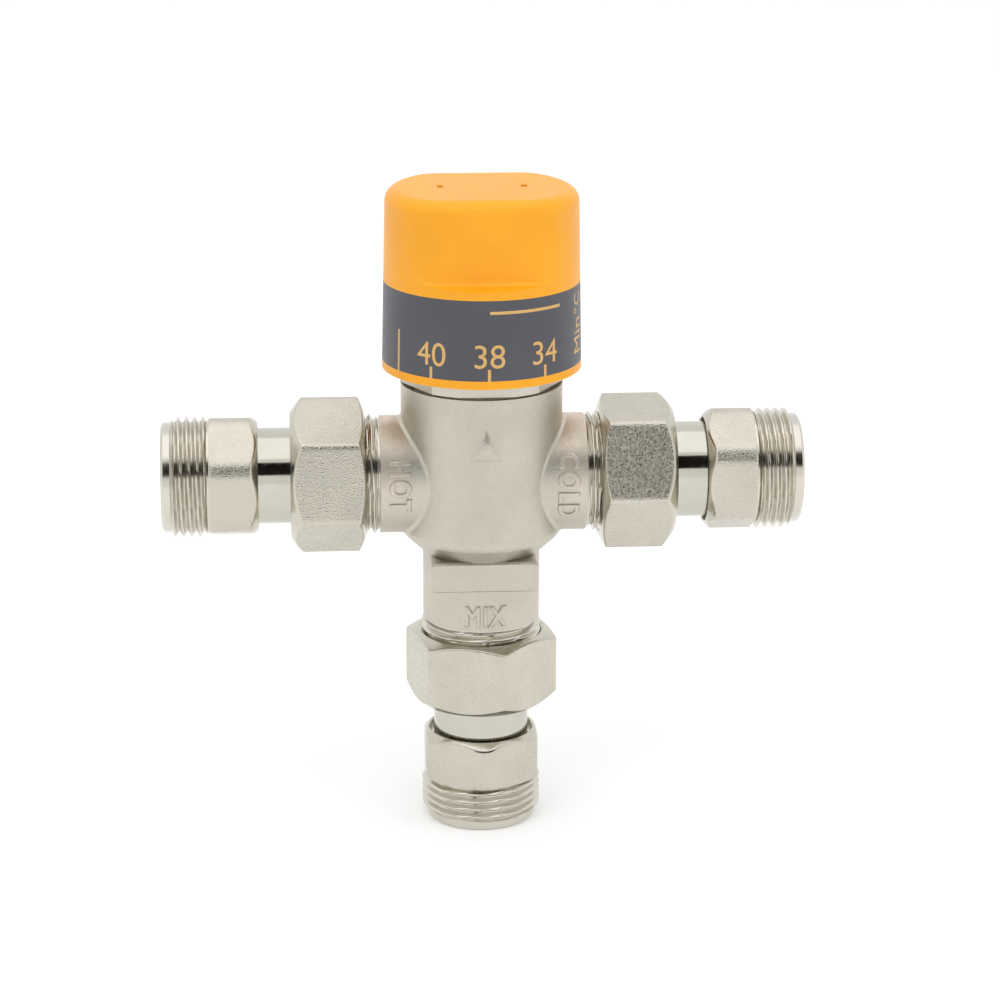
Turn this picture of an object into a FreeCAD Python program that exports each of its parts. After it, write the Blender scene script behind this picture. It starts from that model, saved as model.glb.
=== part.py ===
import FreeCAD, Part
import math
import os

# Thermostatic mixing valve for domestic hot water, with three union connections.
# Millimetres, +Z up.  The origin is the centre of the mixed outlet's end face, so the
# valve stands on Z = 0.  Hot water comes in along -X, cold along +X, mixed water
# leaves downwards, and the index mark on the body faces -Y.

os.makedirs("parts", exist_ok=True)
V = FreeCAD.Vector

# ---------------------------------------------------------------- driving dimensions
# Clearances
RUN_FIT = 0.05          # radial, a shaft or sleeve that turns or slides in its bore
THREAD_FIT = 0.05       # radial, between a screwed pair drawn as plain cylinders
FREE_GAP = 0.3          # between moving pieces that are not a fit
END_FLOAT = 0.05        # axial play of the spindle collar

# G 3/4 pipe thread, on the body ports and on the outer ends of the adapters
G34_MAJOR_R = 26.44 / 2
G34_END_CHAMFER = 1.1
G34_LEAD = 2.0          # plain turned-down lead on the free end of an adapter
G34_LEAD_DEPTH = 1.2
G34_UNDERCUT = 1.0      # radial, where the adapter's thread meets its hexagon
EDGE_BREAK = 0.5        # small chamfer on turned ends

# Body, measured from the crossing of the port axes
CHEST_R = 17.7          # round barrel of the body
CHEST_TOP = 21.05       # axis to the face that the bonnet closes
CHEST_FOOT = -13.4      # axis to the lower lip of the barrel
CHEST_FOOT_R = 16.9
LIP_ROUND = 2.4
BRANCH_R = 12.9         # the two inlet branches and the outlet neck
BRANCH_FILLET = 1.0
INLET_REACH = 22.5      # axis to the start of an inlet thread
OUTLET_REACH = 32.8     # axis to the start of the outlet thread
PORT_THREAD = 12.0      # length of thread on each port
PORT_BORE_R = 8.5
PORT_END = 14.4         # axis to the blind end of an inlet bore
NECK_BLEND_Z = -17.2    # where the cone under the barrel meets the outlet neck
PAD_WIDTH = 23.6        # flat raised pad on the front of the outlet neck
PAD_TOP = -16.8
PAD_BOTTOM = -23.6
PAD_FACE = 13.25
PAD_CORNER = 1.2
MARK_WIDTH = 6.2        # raised index triangle under the scale
MARK_APEX = 14.0
MARK_BASE = 7.6
MARK_PROUD = 0.45

# Union connections, the same on all three ports
GASKET_T = 2.0
GASKET_R = 12.0
FLANGE_R = 11.9         # collar on the tail piece that the nut pulls in
FLANGE_T = 2.9
NUT_SHOULDER = 2.6      # inward lip of the nut behind the flange
NUT_LENGTH = 16.4
NUT_AF = 30.0
NUT_CORNER_R = 17.35
NUT_CHAMFER_IN = 1.5    # axial length of the chamfer on the body side
NUT_CHAMFER_OUT = 2.6
NUT_FACE_R = 13.9       # where the end chamfers start
TAIL_R = 10.55
TAIL_SHOW = 7.0         # bare tail between nut and adapter
TAIL_BORE_R = 7.2
SPIGOT_R = 9.8          # reduced end of the tail, screwed into the adapter
SPIGOT_LEN = 9.0
SPIGOT_SHOULDER = 1.4   # full diameter that enters the adapter's recess
ADAPTER_AF = 25.0
ADAPTER_CORNER_R = 13.6
ADAPTER_HEX = 10.6
ADAPTER_THREAD = 10.4
ADAPTER_CHAMFER = 1.6
ADAPTER_FACE_R = 11.85
RECESS_GAP = 0.9        # ring of air around the tail where it enters the adapter
ADAPTER_BORE_R = 8.5

# Check valve and strainer in each inlet tail
CARTRIDGE_R = 8.4
CARTRIDGE_LEN = 15.0
CARTRIDGE_WALL = 1.3
SEAT_LIP_T = 1.6
SEAT_HOLE_R = 4.9
POPPET_R = 5.9
POPPET_T = 1.5
POPPET_STEM_R = 1.4
HUB_R = 2.6
HUB_LEN = 4.0
RIB_W = 1.4
STRAINER_R = 6.7
STRAINER_LEN = 10.0
STRAINER_WALL = 0.5
STRAINER_RIM_T = 0.8
MESH_HOLE = 1.6

# Control cartridge, heights from the port axis
SHUTTLE_R = 9.95
SHUTTLE_HALF = 6.4
SHUTTLE_BORE_R = 8.3
SHUTTLE_TRAVEL = 1.1    # from rest to either seat
LAND_HALF = 2.2         # bore land between the hot and the cold chamber
CHAMBER_R = 12.6
HUB_TOP = -1.5
HUB_BOTTOM = -4.5
SHUTTLE_HUB_R = 6.6
SPOKE_W = 2.4
HOT_SEAT_R = 8.9
SPRING_LEDGE = -21.0
LEDGE_T = 2.0
LEDGE_R = 7.4
ELEMENT_BULB_R = 6.3
ELEMENT_BULB_END = -20.0
ELEMENT_FLANGE_R = 6.5
ELEMENT_FLANGE_Z = -6.0
ELEMENT_THREAD_R = 4.9
ELEMENT_GUIDE_R = 3.9
ELEMENT_TOP = 7.0
PIN_R = 2.0
PIN_TOP = 12.2
PIN_BOTTOM = -2.5
PIN_ROOM = 2.5          # free depth under the pin
RETURN_SPRING_R = 7.4   # mean radius
RETURN_WIRE = 1.4
RETURN_TURNS = 4         # open turns, between the closed ends

# Bonnet, spindle and adjuster
BONNET_AF = 33.4
BONNET_CORNER_R = 17.7
BONNET_HEX_T = 6.25
BONNET_RELIEF_R = 15.9  # thin turned neck between the body's face and the hexagon
BONNET_RELIEF = 0.5
BONNET_CHAMFER = 1.5
BONNET_THREAD_R = 14.3
BONNET_THREAD_END = 13.0
BONNET_NECK_R = 10.4
BONNET_TOP = 42.0
COLLAR_LEDGE = 34.0     # underside of the bonnet's top wall
GUIDE_AF = 15.2         # hexagonal guide that keeps the adjuster from turning
GUIDE_TOP = 31.0
STEM_R = 4.5
SPINDLE_THREAD_R = 4.0
SPINDLE_THREAD_END = 25.8
COLLAR_R = 7.0
COLLAR_T = 2.7
CLIP_T = 1.0
CLIP_PLAY = 0.05        # axial, on each side of the circlip
CLIP_LIFT = 0.15        # from the bonnet's top to the circlip's groove
CLIP_R = 5.9
CLIP_GROOVE_R = 3.7
SPLINE_TEETH = 16
SPLINE_DEPTH = 0.45
HEAD_GAP = 0.2          # over the spindle's head, so that the screw clamps the cap
DRIVE_PITCH = 6.0       # rise of the adjuster in one turn of the cap
CAP_TURN_UP = 90.0      # degrees from rest to the hottest stop
ADJUSTER_AF = 15.0
ADJUSTER_CORNER_R = 8.6
ADJUSTER_CHAMFER = 1.0
ADJUSTER_WALL_BOTTOM = 24.0
ADJUSTER_BOTTOM = 13.2
ADJUSTER_BORE_R = 5.9
RETAINER_Z = 14.2
RETAINER_T = 1.0
RETAINER_R = 6.5
RETAINER_HOLE_R = 4.5
PLUNGER_FLANGE_T = 1.8
PLUNGER_NOSE_R = 4.2
PLUNGER_SPIGOT_R = 2.6
PLUNGER_SPIGOT = 2.5
OVERLOAD_SPRING_R = 4.45
OVERLOAD_WIRE = 1.5
OVERLOAD_TURNS = 2
STOP_LUG_R = 13.2       # stop lug on the bonnet, under the cap
STOP_LUG_HEIGHT = 5.0
STOP_LUG_ARC = 70.0
STOP_LUG_MID = 100.0    # degrees from +X, so the lug sits at the back

# O-ring cord
CORD = 1.5
GROOVE_DEPTH = 1.25
GROOVE_W = 1.9

# Control cap
CAP_TOP = 64.0
CAP_FOOT = 24.6
CAP_R_TOP = 20.9
CAP_R_FOOT = 21.72
CAP_EDGE = 3.0
CAP_WALL = 2.4
CAP_CROWN = 2.6
FLAT_DISTANCE = 17.1    # grip flats, front and back
FLAT_FOOT = 46.2
FLAT_SLOPE = 0.9        # the ledge under a flat falls outwards by this much
FLAT_BLEND = 9.0        # round between a flat and the drum beside it
LEDGE_ROOT = 1.2        # round where a flat runs into its ledge
CAP_CORE_R = 14.6       # inside the cap, above the level of the flats' ledges
SCALE_TOP = 43.8
SCALE_BOTTOM = 26.4
SCALE_T = 0.4
PLUG_R = 9.65
PLUG_T = 1.8
PLUG_NOTCH = 1.3
PLUG_NOTCH_W = 2.2
WELL_R = 6.5
WELL_FLOOR = 54.0
FLOOR_T = 2.5
BOSS_R = 7.4
SCREW_HEAD_R = 3.9
SCREW_HEAD_T = 2.6
SCREW_R = 2.0
SCREW_LENGTH = 12.0
SCREW_SOCKET_AF = 2.5
CAP_RIB_W = 2.0
CAP_RIB_MID = -96.0     # degrees from +X: the stop rib of the cap in the rest position

# How the hexagons happen to stand, in degrees about each union's own axis
HEX_CLOCK = {"hot": (7.4, -10.1), "cold": (-22.9, 1.0), "outlet": (15.5, 30.0)}

# ------------------------------------------------------------------- derived values
PORT_REACH = {"hot": INLET_REACH, "cold": INLET_REACH, "outlet": OUTLET_REACH}
NUT_START = PORT_THREAD + GASKET_T + FLANGE_T + NUT_SHOULDER - NUT_LENGTH
TAIL_FACE = PORT_THREAD + GASKET_T
ADAPTER_START = NUT_START + NUT_LENGTH + TAIL_SHOW
UNION_LENGTH = ADAPTER_START + ADAPTER_HEX + ADAPTER_THREAD
AXIS_HEIGHT = OUTLET_REACH + UNION_LENGTH
SEAT_Z = SHUTTLE_HALF + SHUTTLE_TRAVEL
LINER_R = SHUTTLE_R + RUN_FIT
BONNET_SKIRT_R = CHAMBER_R - RUN_FIT
BONNET_HEX_TOP = CHEST_TOP + BONNET_HEX_T
HEAD_R = STEM_R - 0.4     # splined head of the spindle
CAP_ROOM_TOP = FLAT_FOOT - 2.5
ADJUSTER_TOP = GUIDE_TOP - DRIVE_PITCH * CAP_TURN_UP / 360 - FREE_GAP
CLIP_SEAT = BONNET_TOP + CLIP_LIFT          # lower wall of the circlip's groove
CLIP_ROOM = CLIP_SEAT + CLIP_T + 2 * CLIP_PLAY
BOSS_FOOT = CLIP_ROOM + FREE_GAP - CLIP_PLAY
SPINDLE_TOP = WELL_FLOOR - FLOOR_T - HEAD_GAP


# --------------------------------------------------------------------- small helpers
def cyl(radius, z0, z1):
    return Part.makeCylinder(radius, z1 - z0, V(0, 0, z0))


def tube(outer, inner, z0, z1):
    return cyl(outer, z0, z1).cut(cyl(inner, z0 - 1, z1 + 1))


def turned(points):
    """A solid of revolution about Z from (radius, z) points."""
    outline = [V(r, 0, z) for r, z in points]
    face = Part.Face(Part.makePolygon(outline + outline[:1]))
    return face.revolve(V(0, 0, 0), V(0, 0, 1), 360)


def hexagon(across_flats, z0, z1):
    corner = across_flats / math.sqrt(3)
    pts = [V(corner * math.cos(math.radians(60 * i)),
             corner * math.sin(math.radians(60 * i)), z0) for i in range(6)]
    face = Part.Face(Part.makePolygon(pts + pts[:1]))
    return face.extrude(V(0, 0, z1 - z0))


def turned_hexagon(across_flats, corner_r, z0, z1, face_r, chamfer_0, chamfer_1):
    """A hexagon whose corners are turned round and whose ends are chamfered."""
    envelope = turned([(0, z0), (face_r if chamfer_0 else corner_r, z0),
                       (corner_r, z0 + chamfer_0), (corner_r, z1 - chamfer_1),
                       (face_r if chamfer_1 else corner_r, z1), (0, z1)])
    return hexagon(across_flats, z0, z1).common(envelope)


def o_ring(shaft_r, z):
    """Cord squeezed to an oval between its groove's floor and the bore around it."""
    squeezed = GROOVE_DEPTH + RUN_FIT
    width = CORD * CORD / squeezed
    centre = V(shaft_r - GROOVE_DEPTH + squeezed / 2, 0, z)
    oval = Part.Ellipse(centre + V(0, 0, width / 2), centre + V(squeezed / 2, 0, 0), centre)
    section = Part.Face(Part.Wire(oval.toShape()))
    return section.revolve(V(0, 0, 0), V(0, 0, 1), 360)


def groove(outer_r, z):
    return tube(outer_r + 1, outer_r - GROOVE_DEPTH, z - GROOVE_W / 2, z + GROOVE_W / 2)


def coil(mean_r, wire, z0, z1, open_turns):
    """A compression spring standing between two seats, with a closed coil at each end.

    The wire is drawn as half-turn arcs.  Each arc lies in its own tilted plane and all
    meet tangentially over the X axis.
    """
    closed = 1.05 * wire
    rises = [closed / 2] * 2
    open_rise = (z1 - z0 - wire - 2 * closed) / (2 * open_turns)
    rises = rises + [open_rise] * (2 * open_turns) + rises
    arcs = []
    z, side = z0 + wire / 2, 1
    for rise in rises:
        start, end = V(side * mean_r, 0, z), V(-side * mean_r, 0, z + rise)
        axis = (end - start).cross(V(0, side, 0))
        disc = Part.Face(Part.Wire(Part.makeCircle(wire / 2, start, V(0, 1, 0))))
        arcs.append(disc.revolve((start + end) * 0.5, axis * -1, 180))
        z, side = z + rise, -side
    return arcs[0].fuse(arcs[1:])


def sector(radius, z0, z1, mid_deg, arc_deg):
    wedge = Part.makeCylinder(radius, z1 - z0, V(0, 0, z0), V(0, 0, 1), arc_deg)
    wedge.rotate(V(0, 0, 0), V(0, 0, 1), mid_deg - arc_deg / 2)
    return wedge


def around(shape, count):
    """Copies of a shape at equal steps about Z."""
    copies = []
    for i in range(count):
        one = shape.copy()
        one.rotate(V(0, 0, 0), V(0, 0, 1), 360.0 * i / count)
        copies.append(one)
    return copies


def fused(first, *rest):
    return first.fuse(list(rest)).removeSplitter() if rest else first


def on_port(shape, port):
    """Turn a piece drawn along +Z from the crossing of the axes onto its port."""
    turn = {"hot": -90, "cold": 90, "outlet": 180}[port]
    shape = shape.copy()
    shape.rotate(V(0, 0, 0), V(0, 1, 0), turn)
    return shape


def save(node, shape):
    shape = shape.copy()
    shape.translate(V(0, 0, AXIS_HEIGHT))
    if len(shape.Solids) == 1:
        shape = shape.Solids[0]
    shape.exportStep("parts/%s.step" % node)


# ------------------------------------------------------------------------------ body
def body_casting():
    """Outside of the forging: barrel, lip, neck, branches, pad and index mark."""
    lip_bottom = V(CHEST_FOOT_R, 0, CHEST_FOOT)
    lip_top = V(CHEST_R, 0, CHEST_FOOT + LIP_ROUND)
    lip_mid = V(CHEST_R - 0.22, 0, CHEST_FOOT + 0.38 * LIP_ROUND)
    end = -(OUTLET_REACH + PORT_THREAD)
    corners = [V(CHEST_R, 0, CHEST_TOP), V(0, 0, CHEST_TOP), V(0, 0, end),
               V(BRANCH_R, 0, end), V(BRANCH_R, 0, NECK_BLEND_Z), lip_bottom]
    edges = [Part.makeLine(a, b) for a, b in zip(corners, corners[1:])]
    edges.append(Part.Arc(lip_bottom, lip_mid, lip_top).toShape())
    edges.append(Part.makeLine(lip_top, corners[0]))
    barrel = Part.Face(Part.Wire(edges)).revolve(V(0, 0, 0), V(0, 0, 1), 360)
    reach = INLET_REACH + PORT_THREAD
    branches = Part.makeCylinder(BRANCH_R, 2 * reach, V(-reach, 0, 0), V(1, 0, 0))
    casting = barrel.fuse(branches).removeSplitter()
    return casting.makeFillet(BRANCH_FILLET, branch_edges(casting))


def branch_edges(casting):
    """The two curved edges where the inlet branches grow out of the barrel's wall."""
    found = []
    for edge in casting.Edges:
        mid = edge_middle(edge)
        on_barrel = abs(math.hypot(mid.x, mid.y) - CHEST_R) < 0.01
        on_branch = abs(math.hypot(mid.y, mid.z) - BRANCH_R) < 0.01
        if on_barrel and on_branch:
            found.append(edge)
    return found


def port_thread(port):
    """Male thread blank of one port, with its lead chamfer."""
    start = PORT_REACH[port]
    end = start + PORT_THREAD
    blank = turned([(0, start), (G34_MAJOR_R, start), (G34_MAJOR_R, end - G34_END_CHAMFER),
                    (G34_MAJOR_R - G34_END_CHAMFER, end), (0, end)])
    return on_port(blank, port)


def rating_pad():
    depth = PAD_FACE - BRANCH_R / 2
    pad = Part.makeBox(PAD_WIDTH, depth, PAD_TOP - PAD_BOTTOM,
                       V(-PAD_WIDTH / 2, -PAD_FACE, PAD_BOTTOM))
    corners = [e for e in pad.Edges if abs(e.Vertexes[0].Y - e.Vertexes[-1].Y) > depth / 2]
    pad = pad.makeFillet(PAD_CORNER, corners)
    front = [e for e in pad.Edges if all(abs(v.Y + PAD_FACE) < 1e-6 for v in e.Vertexes)]
    return pad.makeFillet(0.6, front)


def index_mark():
    """Raised triangle that the scale is read against."""
    half = MARK_WIDTH / 2
    pts = [V(-half, 0, MARK_BASE), V(half, 0, MARK_BASE), V(0, 0, MARK_APEX)]
    prism = Part.Face(Part.makePolygon(pts + pts[:1])).extrude(V(0, -2 * CHEST_R, 0))
    return prism.common(tube(CHEST_R + MARK_PROUD, CHEST_R - 1, MARK_BASE - 1, MARK_APEX + 1))


def control_bore():
    """Everything machined into the body from the top and through to the outlet."""
    cuts = [cyl(BONNET_THREAD_R, BONNET_THREAD_END, CHEST_TOP + 1),
            cyl(CHAMBER_R, LAND_HALF, BONNET_THREAD_END),
            cyl(LINER_R, -LAND_HALF - 1, LAND_HALF + 1),
            cyl(CHAMBER_R, -SEAT_Z, -LAND_HALF),
            cyl(HOT_SEAT_R, SPRING_LEDGE, -SEAT_Z + 1),
            cyl(LEDGE_R, SPRING_LEDGE - LEDGE_T - 1, SPRING_LEDGE + 1),
            cyl(PORT_BORE_R, -(OUTLET_REACH + PORT_THREAD) - 1, SPRING_LEDGE - LEDGE_T)]
    return cuts


def inlet_bore(port):
    """Blind inlet bore and the window that lets it into its own chamber only."""
    bore = cyl(PORT_BORE_R, PORT_END, INLET_REACH + PORT_THREAD + 1)
    window = on_port(cyl(PORT_BORE_R - 1, CHAMBER_R - 2, PORT_END + 1), port)
    bottom, top = (-SEAT_Z, -LAND_HALF) if port == "hot" else (LAND_HALF, SEAT_Z)
    slab = Part.makeBox(4 * CHEST_R, 4 * CHEST_R, top - bottom,
                        V(-2 * CHEST_R, -2 * CHEST_R, bottom))
    return [on_port(bore, port), window.common(slab)]


def valve_body():
    body = body_casting().fuse([port_thread(p) for p in PORT_REACH]
                               + [rating_pad(), index_mark()])
    body = body.cut(control_bore() + inlet_bore("hot") + inlet_bore("cold"))
    return body


# ---------------------------------------------------------------------------- bonnet
def bonnet():
    """Hexagon cover screwed into the body; its skirt carries the cold seat."""
    hex_top = BONNET_HEX_TOP
    hex_foot = CHEST_TOP + BONNET_RELIEF
    cover = hexagon(BONNET_AF, CHEST_TOP, hex_top)
    cover = cover.common(turned([(0, CHEST_TOP), (BONNET_RELIEF_R, CHEST_TOP),
                                 (BONNET_RELIEF_R, hex_foot), (BONNET_CORNER_R, hex_foot),
                                 (BONNET_CORNER_R, hex_top - BONNET_CHAMFER),
                                 (BONNET_CORNER_R - BONNET_CHAMFER, hex_top), (0, hex_top)]))
    thread_r = BONNET_THREAD_R - THREAD_FIT
    core = turned([(0, SEAT_Z), (BONNET_SKIRT_R, SEAT_Z),
                   (BONNET_SKIRT_R, BONNET_THREAD_END + 1), (thread_r, BONNET_THREAD_END + 2),
                   (thread_r, CHEST_TOP), (BONNET_NECK_R, CHEST_TOP),
                   (BONNET_NECK_R, BONNET_TOP - 1), (BONNET_NECK_R - 1, BONNET_TOP),
                   (0, BONNET_TOP)])
    lug = sector(STOP_LUG_R, hex_top - 0.5, hex_top + STOP_LUG_HEIGHT,
                 STOP_LUG_MID, STOP_LUG_ARC).cut(cyl(BONNET_NECK_R - 1, 0, BONNET_TOP))
    shape = fused(cover, core, lug)
    return shape.cut([cyl(HOT_SEAT_R, SEAT_Z - 1, ADJUSTER_BOTTOM - 1.5),
                      hexagon(GUIDE_AF, SEAT_Z, GUIDE_TOP),
                      cyl(COLLAR_R + FREE_GAP, GUIDE_TOP - 0.5, COLLAR_LEDGE),
                      cyl(STEM_R + RUN_FIT, COLLAR_LEDGE - 1, BONNET_TOP + 1),
                      groove(BONNET_SKIRT_R, bonnet_ring_z())])


def bonnet_ring_z():
    return (SEAT_Z + BONNET_THREAD_END) / 2


def spindle():
    """Turning spindle: drive thread below, collar, sealed stem and splined head."""
    collar_top = COLLAR_LEDGE - END_FLOAT
    shape = turned([(0, SPINDLE_THREAD_END), (SPINDLE_THREAD_R - 0.7, SPINDLE_THREAD_END),
                    (SPINDLE_THREAD_R, SPINDLE_THREAD_END + 0.7),
                    (SPINDLE_THREAD_R, collar_top - COLLAR_T), (COLLAR_R, collar_top - COLLAR_T),
                    (COLLAR_R, collar_top), (STEM_R, collar_top), (STEM_R, CLIP_SEAT),
                    (CLIP_GROOVE_R, CLIP_SEAT), (CLIP_GROOVE_R, CLIP_ROOM),
                    (HEAD_R, CLIP_ROOM), (HEAD_R, SPINDLE_TOP - 0.5),
                    (HEAD_R - 0.5, SPINDLE_TOP), (0, SPINDLE_TOP)])
    cuts = [groove(STEM_R, z) for z in spindle_ring_heights()]
    cuts.append(cyl(SCREW_R + THREAD_FIT, WELL_FLOOR - SCREW_LENGTH - 1, SPINDLE_TOP + 1))
    notch = cyl(SPLINE_DEPTH, BOSS_FOOT - FREE_GAP, SPINDLE_TOP + 1)
    notch.translate(V(HEAD_R, 0, 0))
    return shape.cut(cuts + around(notch, SPLINE_TEETH))


def spindle_ring_heights():
    middle = (COLLAR_LEDGE + BONNET_TOP) / 2
    return (middle - 1.6, middle + 1.6)


def spindle_clip():
    """Retaining ring that keeps the spindle from dropping out of the bonnet."""
    z = CLIP_SEAT + CLIP_PLAY
    ring = tube(CLIP_R, CLIP_GROOVE_R + 0.05, z, z + CLIP_T)
    mouth = Part.makeBox(2 * CLIP_R, 5.0, CLIP_T + 2, V(0, -2.5, z - 1))
    return ring.cut(mouth)


def adjuster():
    """Sliding nut that the spindle drives up and down in the hexagonal guide."""
    shape = hexagon(ADJUSTER_AF, ADJUSTER_BOTTOM, ADJUSTER_TOP)
    end_r = ADJUSTER_CORNER_R - ADJUSTER_CHAMFER
    shape = shape.common(turned([(0, ADJUSTER_BOTTOM), (end_r, ADJUSTER_BOTTOM),
                                 (ADJUSTER_CORNER_R, ADJUSTER_BOTTOM + ADJUSTER_CHAMFER),
                                 (ADJUSTER_CORNER_R, ADJUSTER_TOP - ADJUSTER_CHAMFER),
                                 (end_r, ADJUSTER_TOP), (0, ADJUSTER_TOP)]))
    return shape.cut([cyl(ADJUSTER_BORE_R, ADJUSTER_BOTTOM - 1, ADJUSTER_WALL_BOTTOM),
                      cyl(SPINDLE_THREAD_R + THREAD_FIT, 0, ADJUSTER_TOP + 1),
                      cyl(RETAINER_R, RETAINER_Z, RETAINER_Z + RETAINER_T)])


def retainer():
    ring = tube(RETAINER_R - 0.05, RETAINER_HOLE_R, RETAINER_Z, RETAINER_Z + RETAINER_T)
    mouth = Part.makeBox(2 * RETAINER_R, 4.0, RETAINER_T + 2, V(0, -2.0, RETAINER_Z - 1))
    return ring.cut(mouth)


def plunger():
    """Overload plunger: rests on the push pin and yields against its spring."""
    foot = RETAINER_Z + RETAINER_T
    top = foot + PLUNGER_FLANGE_T
    return turned([(0, PIN_TOP), (PLUNGER_NOSE_R - 0.5, PIN_TOP), (PLUNGER_NOSE_R, PIN_TOP + 0.5),
                   (PLUNGER_NOSE_R, foot), (ADJUSTER_BORE_R - 0.15, foot),
                   (ADJUSTER_BORE_R - 0.15, top), (PLUNGER_SPIGOT_R, top),
                   (PLUNGER_SPIGOT_R, top + PLUNGER_SPIGOT), (0, top + PLUNGER_SPIGOT)])


def overload_spring():
    return coil(OVERLOAD_SPRING_R, OVERLOAD_WIRE, RETAINER_Z + RETAINER_T + PLUNGER_FLANGE_T,
                ADJUSTER_WALL_BOTTOM, OVERLOAD_TURNS)


# ------------------------------------------------------------------ thermostatic unit
def shuttle():
    """Regulating shuttle: its lower rim meets the hot seat, its upper the cold."""
    wall = tube(SHUTTLE_R, SHUTTLE_BORE_R, -SHUTTLE_HALF, SHUTTLE_HALF)
    hub = cyl(SHUTTLE_HUB_R, HUB_BOTTOM, HUB_TOP)
    spoke = Part.makeBox(SHUTTLE_BORE_R + 0.5, SPOKE_W, HUB_TOP - HUB_BOTTOM,
                         V(0, -SPOKE_W / 2, HUB_BOTTOM))
    shape = fused(wall, hub, *around(spoke, 4))
    return shape.cut([cyl(ELEMENT_THREAD_R + THREAD_FIT, HUB_BOTTOM - 1, HUB_TOP + 1),
                      groove(SHUTTLE_R, 0)])


def wax_element():
    """Thermostatic element: wax bulb, mounting flange, thread and pin guide."""
    bulb_end = ELEMENT_BULB_END
    shape = turned([(0, bulb_end), (ELEMENT_BULB_R - 1.2, bulb_end),
                    (ELEMENT_BULB_R, bulb_end + 1.2), (ELEMENT_BULB_R, ELEMENT_FLANGE_Z - 1.4),
                    (ELEMENT_FLANGE_R, ELEMENT_FLANGE_Z - 1.0),
                    (ELEMENT_FLANGE_R, HUB_BOTTOM), (ELEMENT_THREAD_R, HUB_BOTTOM),
                    (ELEMENT_THREAD_R, HUB_TOP + 0.5), (ELEMENT_GUIDE_R, HUB_TOP + 1.5),
                    (ELEMENT_GUIDE_R, ELEMENT_TOP - 0.5), (ELEMENT_GUIDE_R - 0.5, ELEMENT_TOP),
                    (0, ELEMENT_TOP)])
    return shape.cut(cyl(PIN_R + RUN_FIT, PIN_BOTTOM - PIN_ROOM, ELEMENT_TOP + 1))


def push_pin():
    return turned([(0, PIN_BOTTOM), (PIN_R - 0.4, PIN_BOTTOM), (PIN_R, PIN_BOTTOM + 0.4),
                   (PIN_R, PIN_TOP - 0.4), (PIN_R - 0.4, PIN_TOP), (0, PIN_TOP)])


def return_spring():
    return coil(RETURN_SPRING_R, RETURN_WIRE, SPRING_LEDGE, HUB_BOTTOM, RETURN_TURNS)


# ------------------------------------------------------------------------------- cap
def cap_radius(z):
    return CAP_R_FOOT + (CAP_R_TOP - CAP_R_FOOT) * (z - CAP_FOOT) / (CAP_TOP - CAP_FOOT)


def cap_blank():
    """Outside of the cap: slight draft, rounded top edge, two softly blended grip flats."""
    drum = Part.makeCone(CAP_R_FOOT, CAP_R_TOP, CAP_TOP - CAP_FOOT, V(0, 0, CAP_FOOT))
    for side in (1, -1):
        drum = drum.cut(grip_flat(side))
    drum = drum.makeFillet(FLAT_BLEND, flat_sides(drum))
    drum = drum.makeFillet(LEDGE_ROOT, ledge_roots(drum))
    rim = [e for e in drum.Edges
           if all(abs(v.Z - CAP_TOP) < 1e-6 for v in e.Vertexes)]
    return drum.makeFillet(CAP_EDGE, rim)


def edge_middle(edge):
    return edge.valueAt((edge.FirstParameter + edge.LastParameter) / 2)


def flat_sides(drum):
    """The upright edges where the grip flats cut the drum."""
    return [e for e in drum.Edges if abs(abs(edge_middle(e).y) - FLAT_DISTANCE) < 0.01
            and abs(e.Vertexes[0].Z - e.Vertexes[-1].Z) > CAP_EDGE]


def ledge_roots(drum):
    """The level edges where the grip flats run into their ledges."""
    return [e for e in drum.Edges if abs(edge_middle(e).z - FLAT_FOOT) < 0.01
            and 1 < abs(edge_middle(e).y) < FLAT_DISTANCE + 0.01]


def grip_flat(side):
    """Material taken off one side; its floor falls away outwards."""
    pts = [V(0, FLAT_DISTANCE, FLAT_FOOT), V(0, 2 * CAP_R_FOOT, FLAT_FOOT - FLAT_SLOPE * 5),
           V(0, 2 * CAP_R_FOOT, CAP_TOP + 5), V(0, FLAT_DISTANCE, CAP_TOP + 5)]
    face = Part.Face(Part.makePolygon(pts + pts[:1]))
    block = face.extrude(V(4 * CAP_R_FOOT, 0, 0))
    block.translate(V(-2 * CAP_R_FOOT, 0, 0))
    if side < 0:
        block.rotate(V(0, 0, 0), V(0, 0, 1), 180)
    return block


def scale_recess(inner_offset):
    bottom, top = SCALE_BOTTOM, SCALE_TOP
    outer = Part.makeCone(cap_radius(bottom) + 1, cap_radius(top) + 1, top - bottom,
                          V(0, 0, bottom))
    inner = Part.makeCone(cap_radius(bottom) - inner_offset, cap_radius(top) - inner_offset,
                          top - bottom, V(0, 0, bottom))
    return outer.cut(inner)


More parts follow.
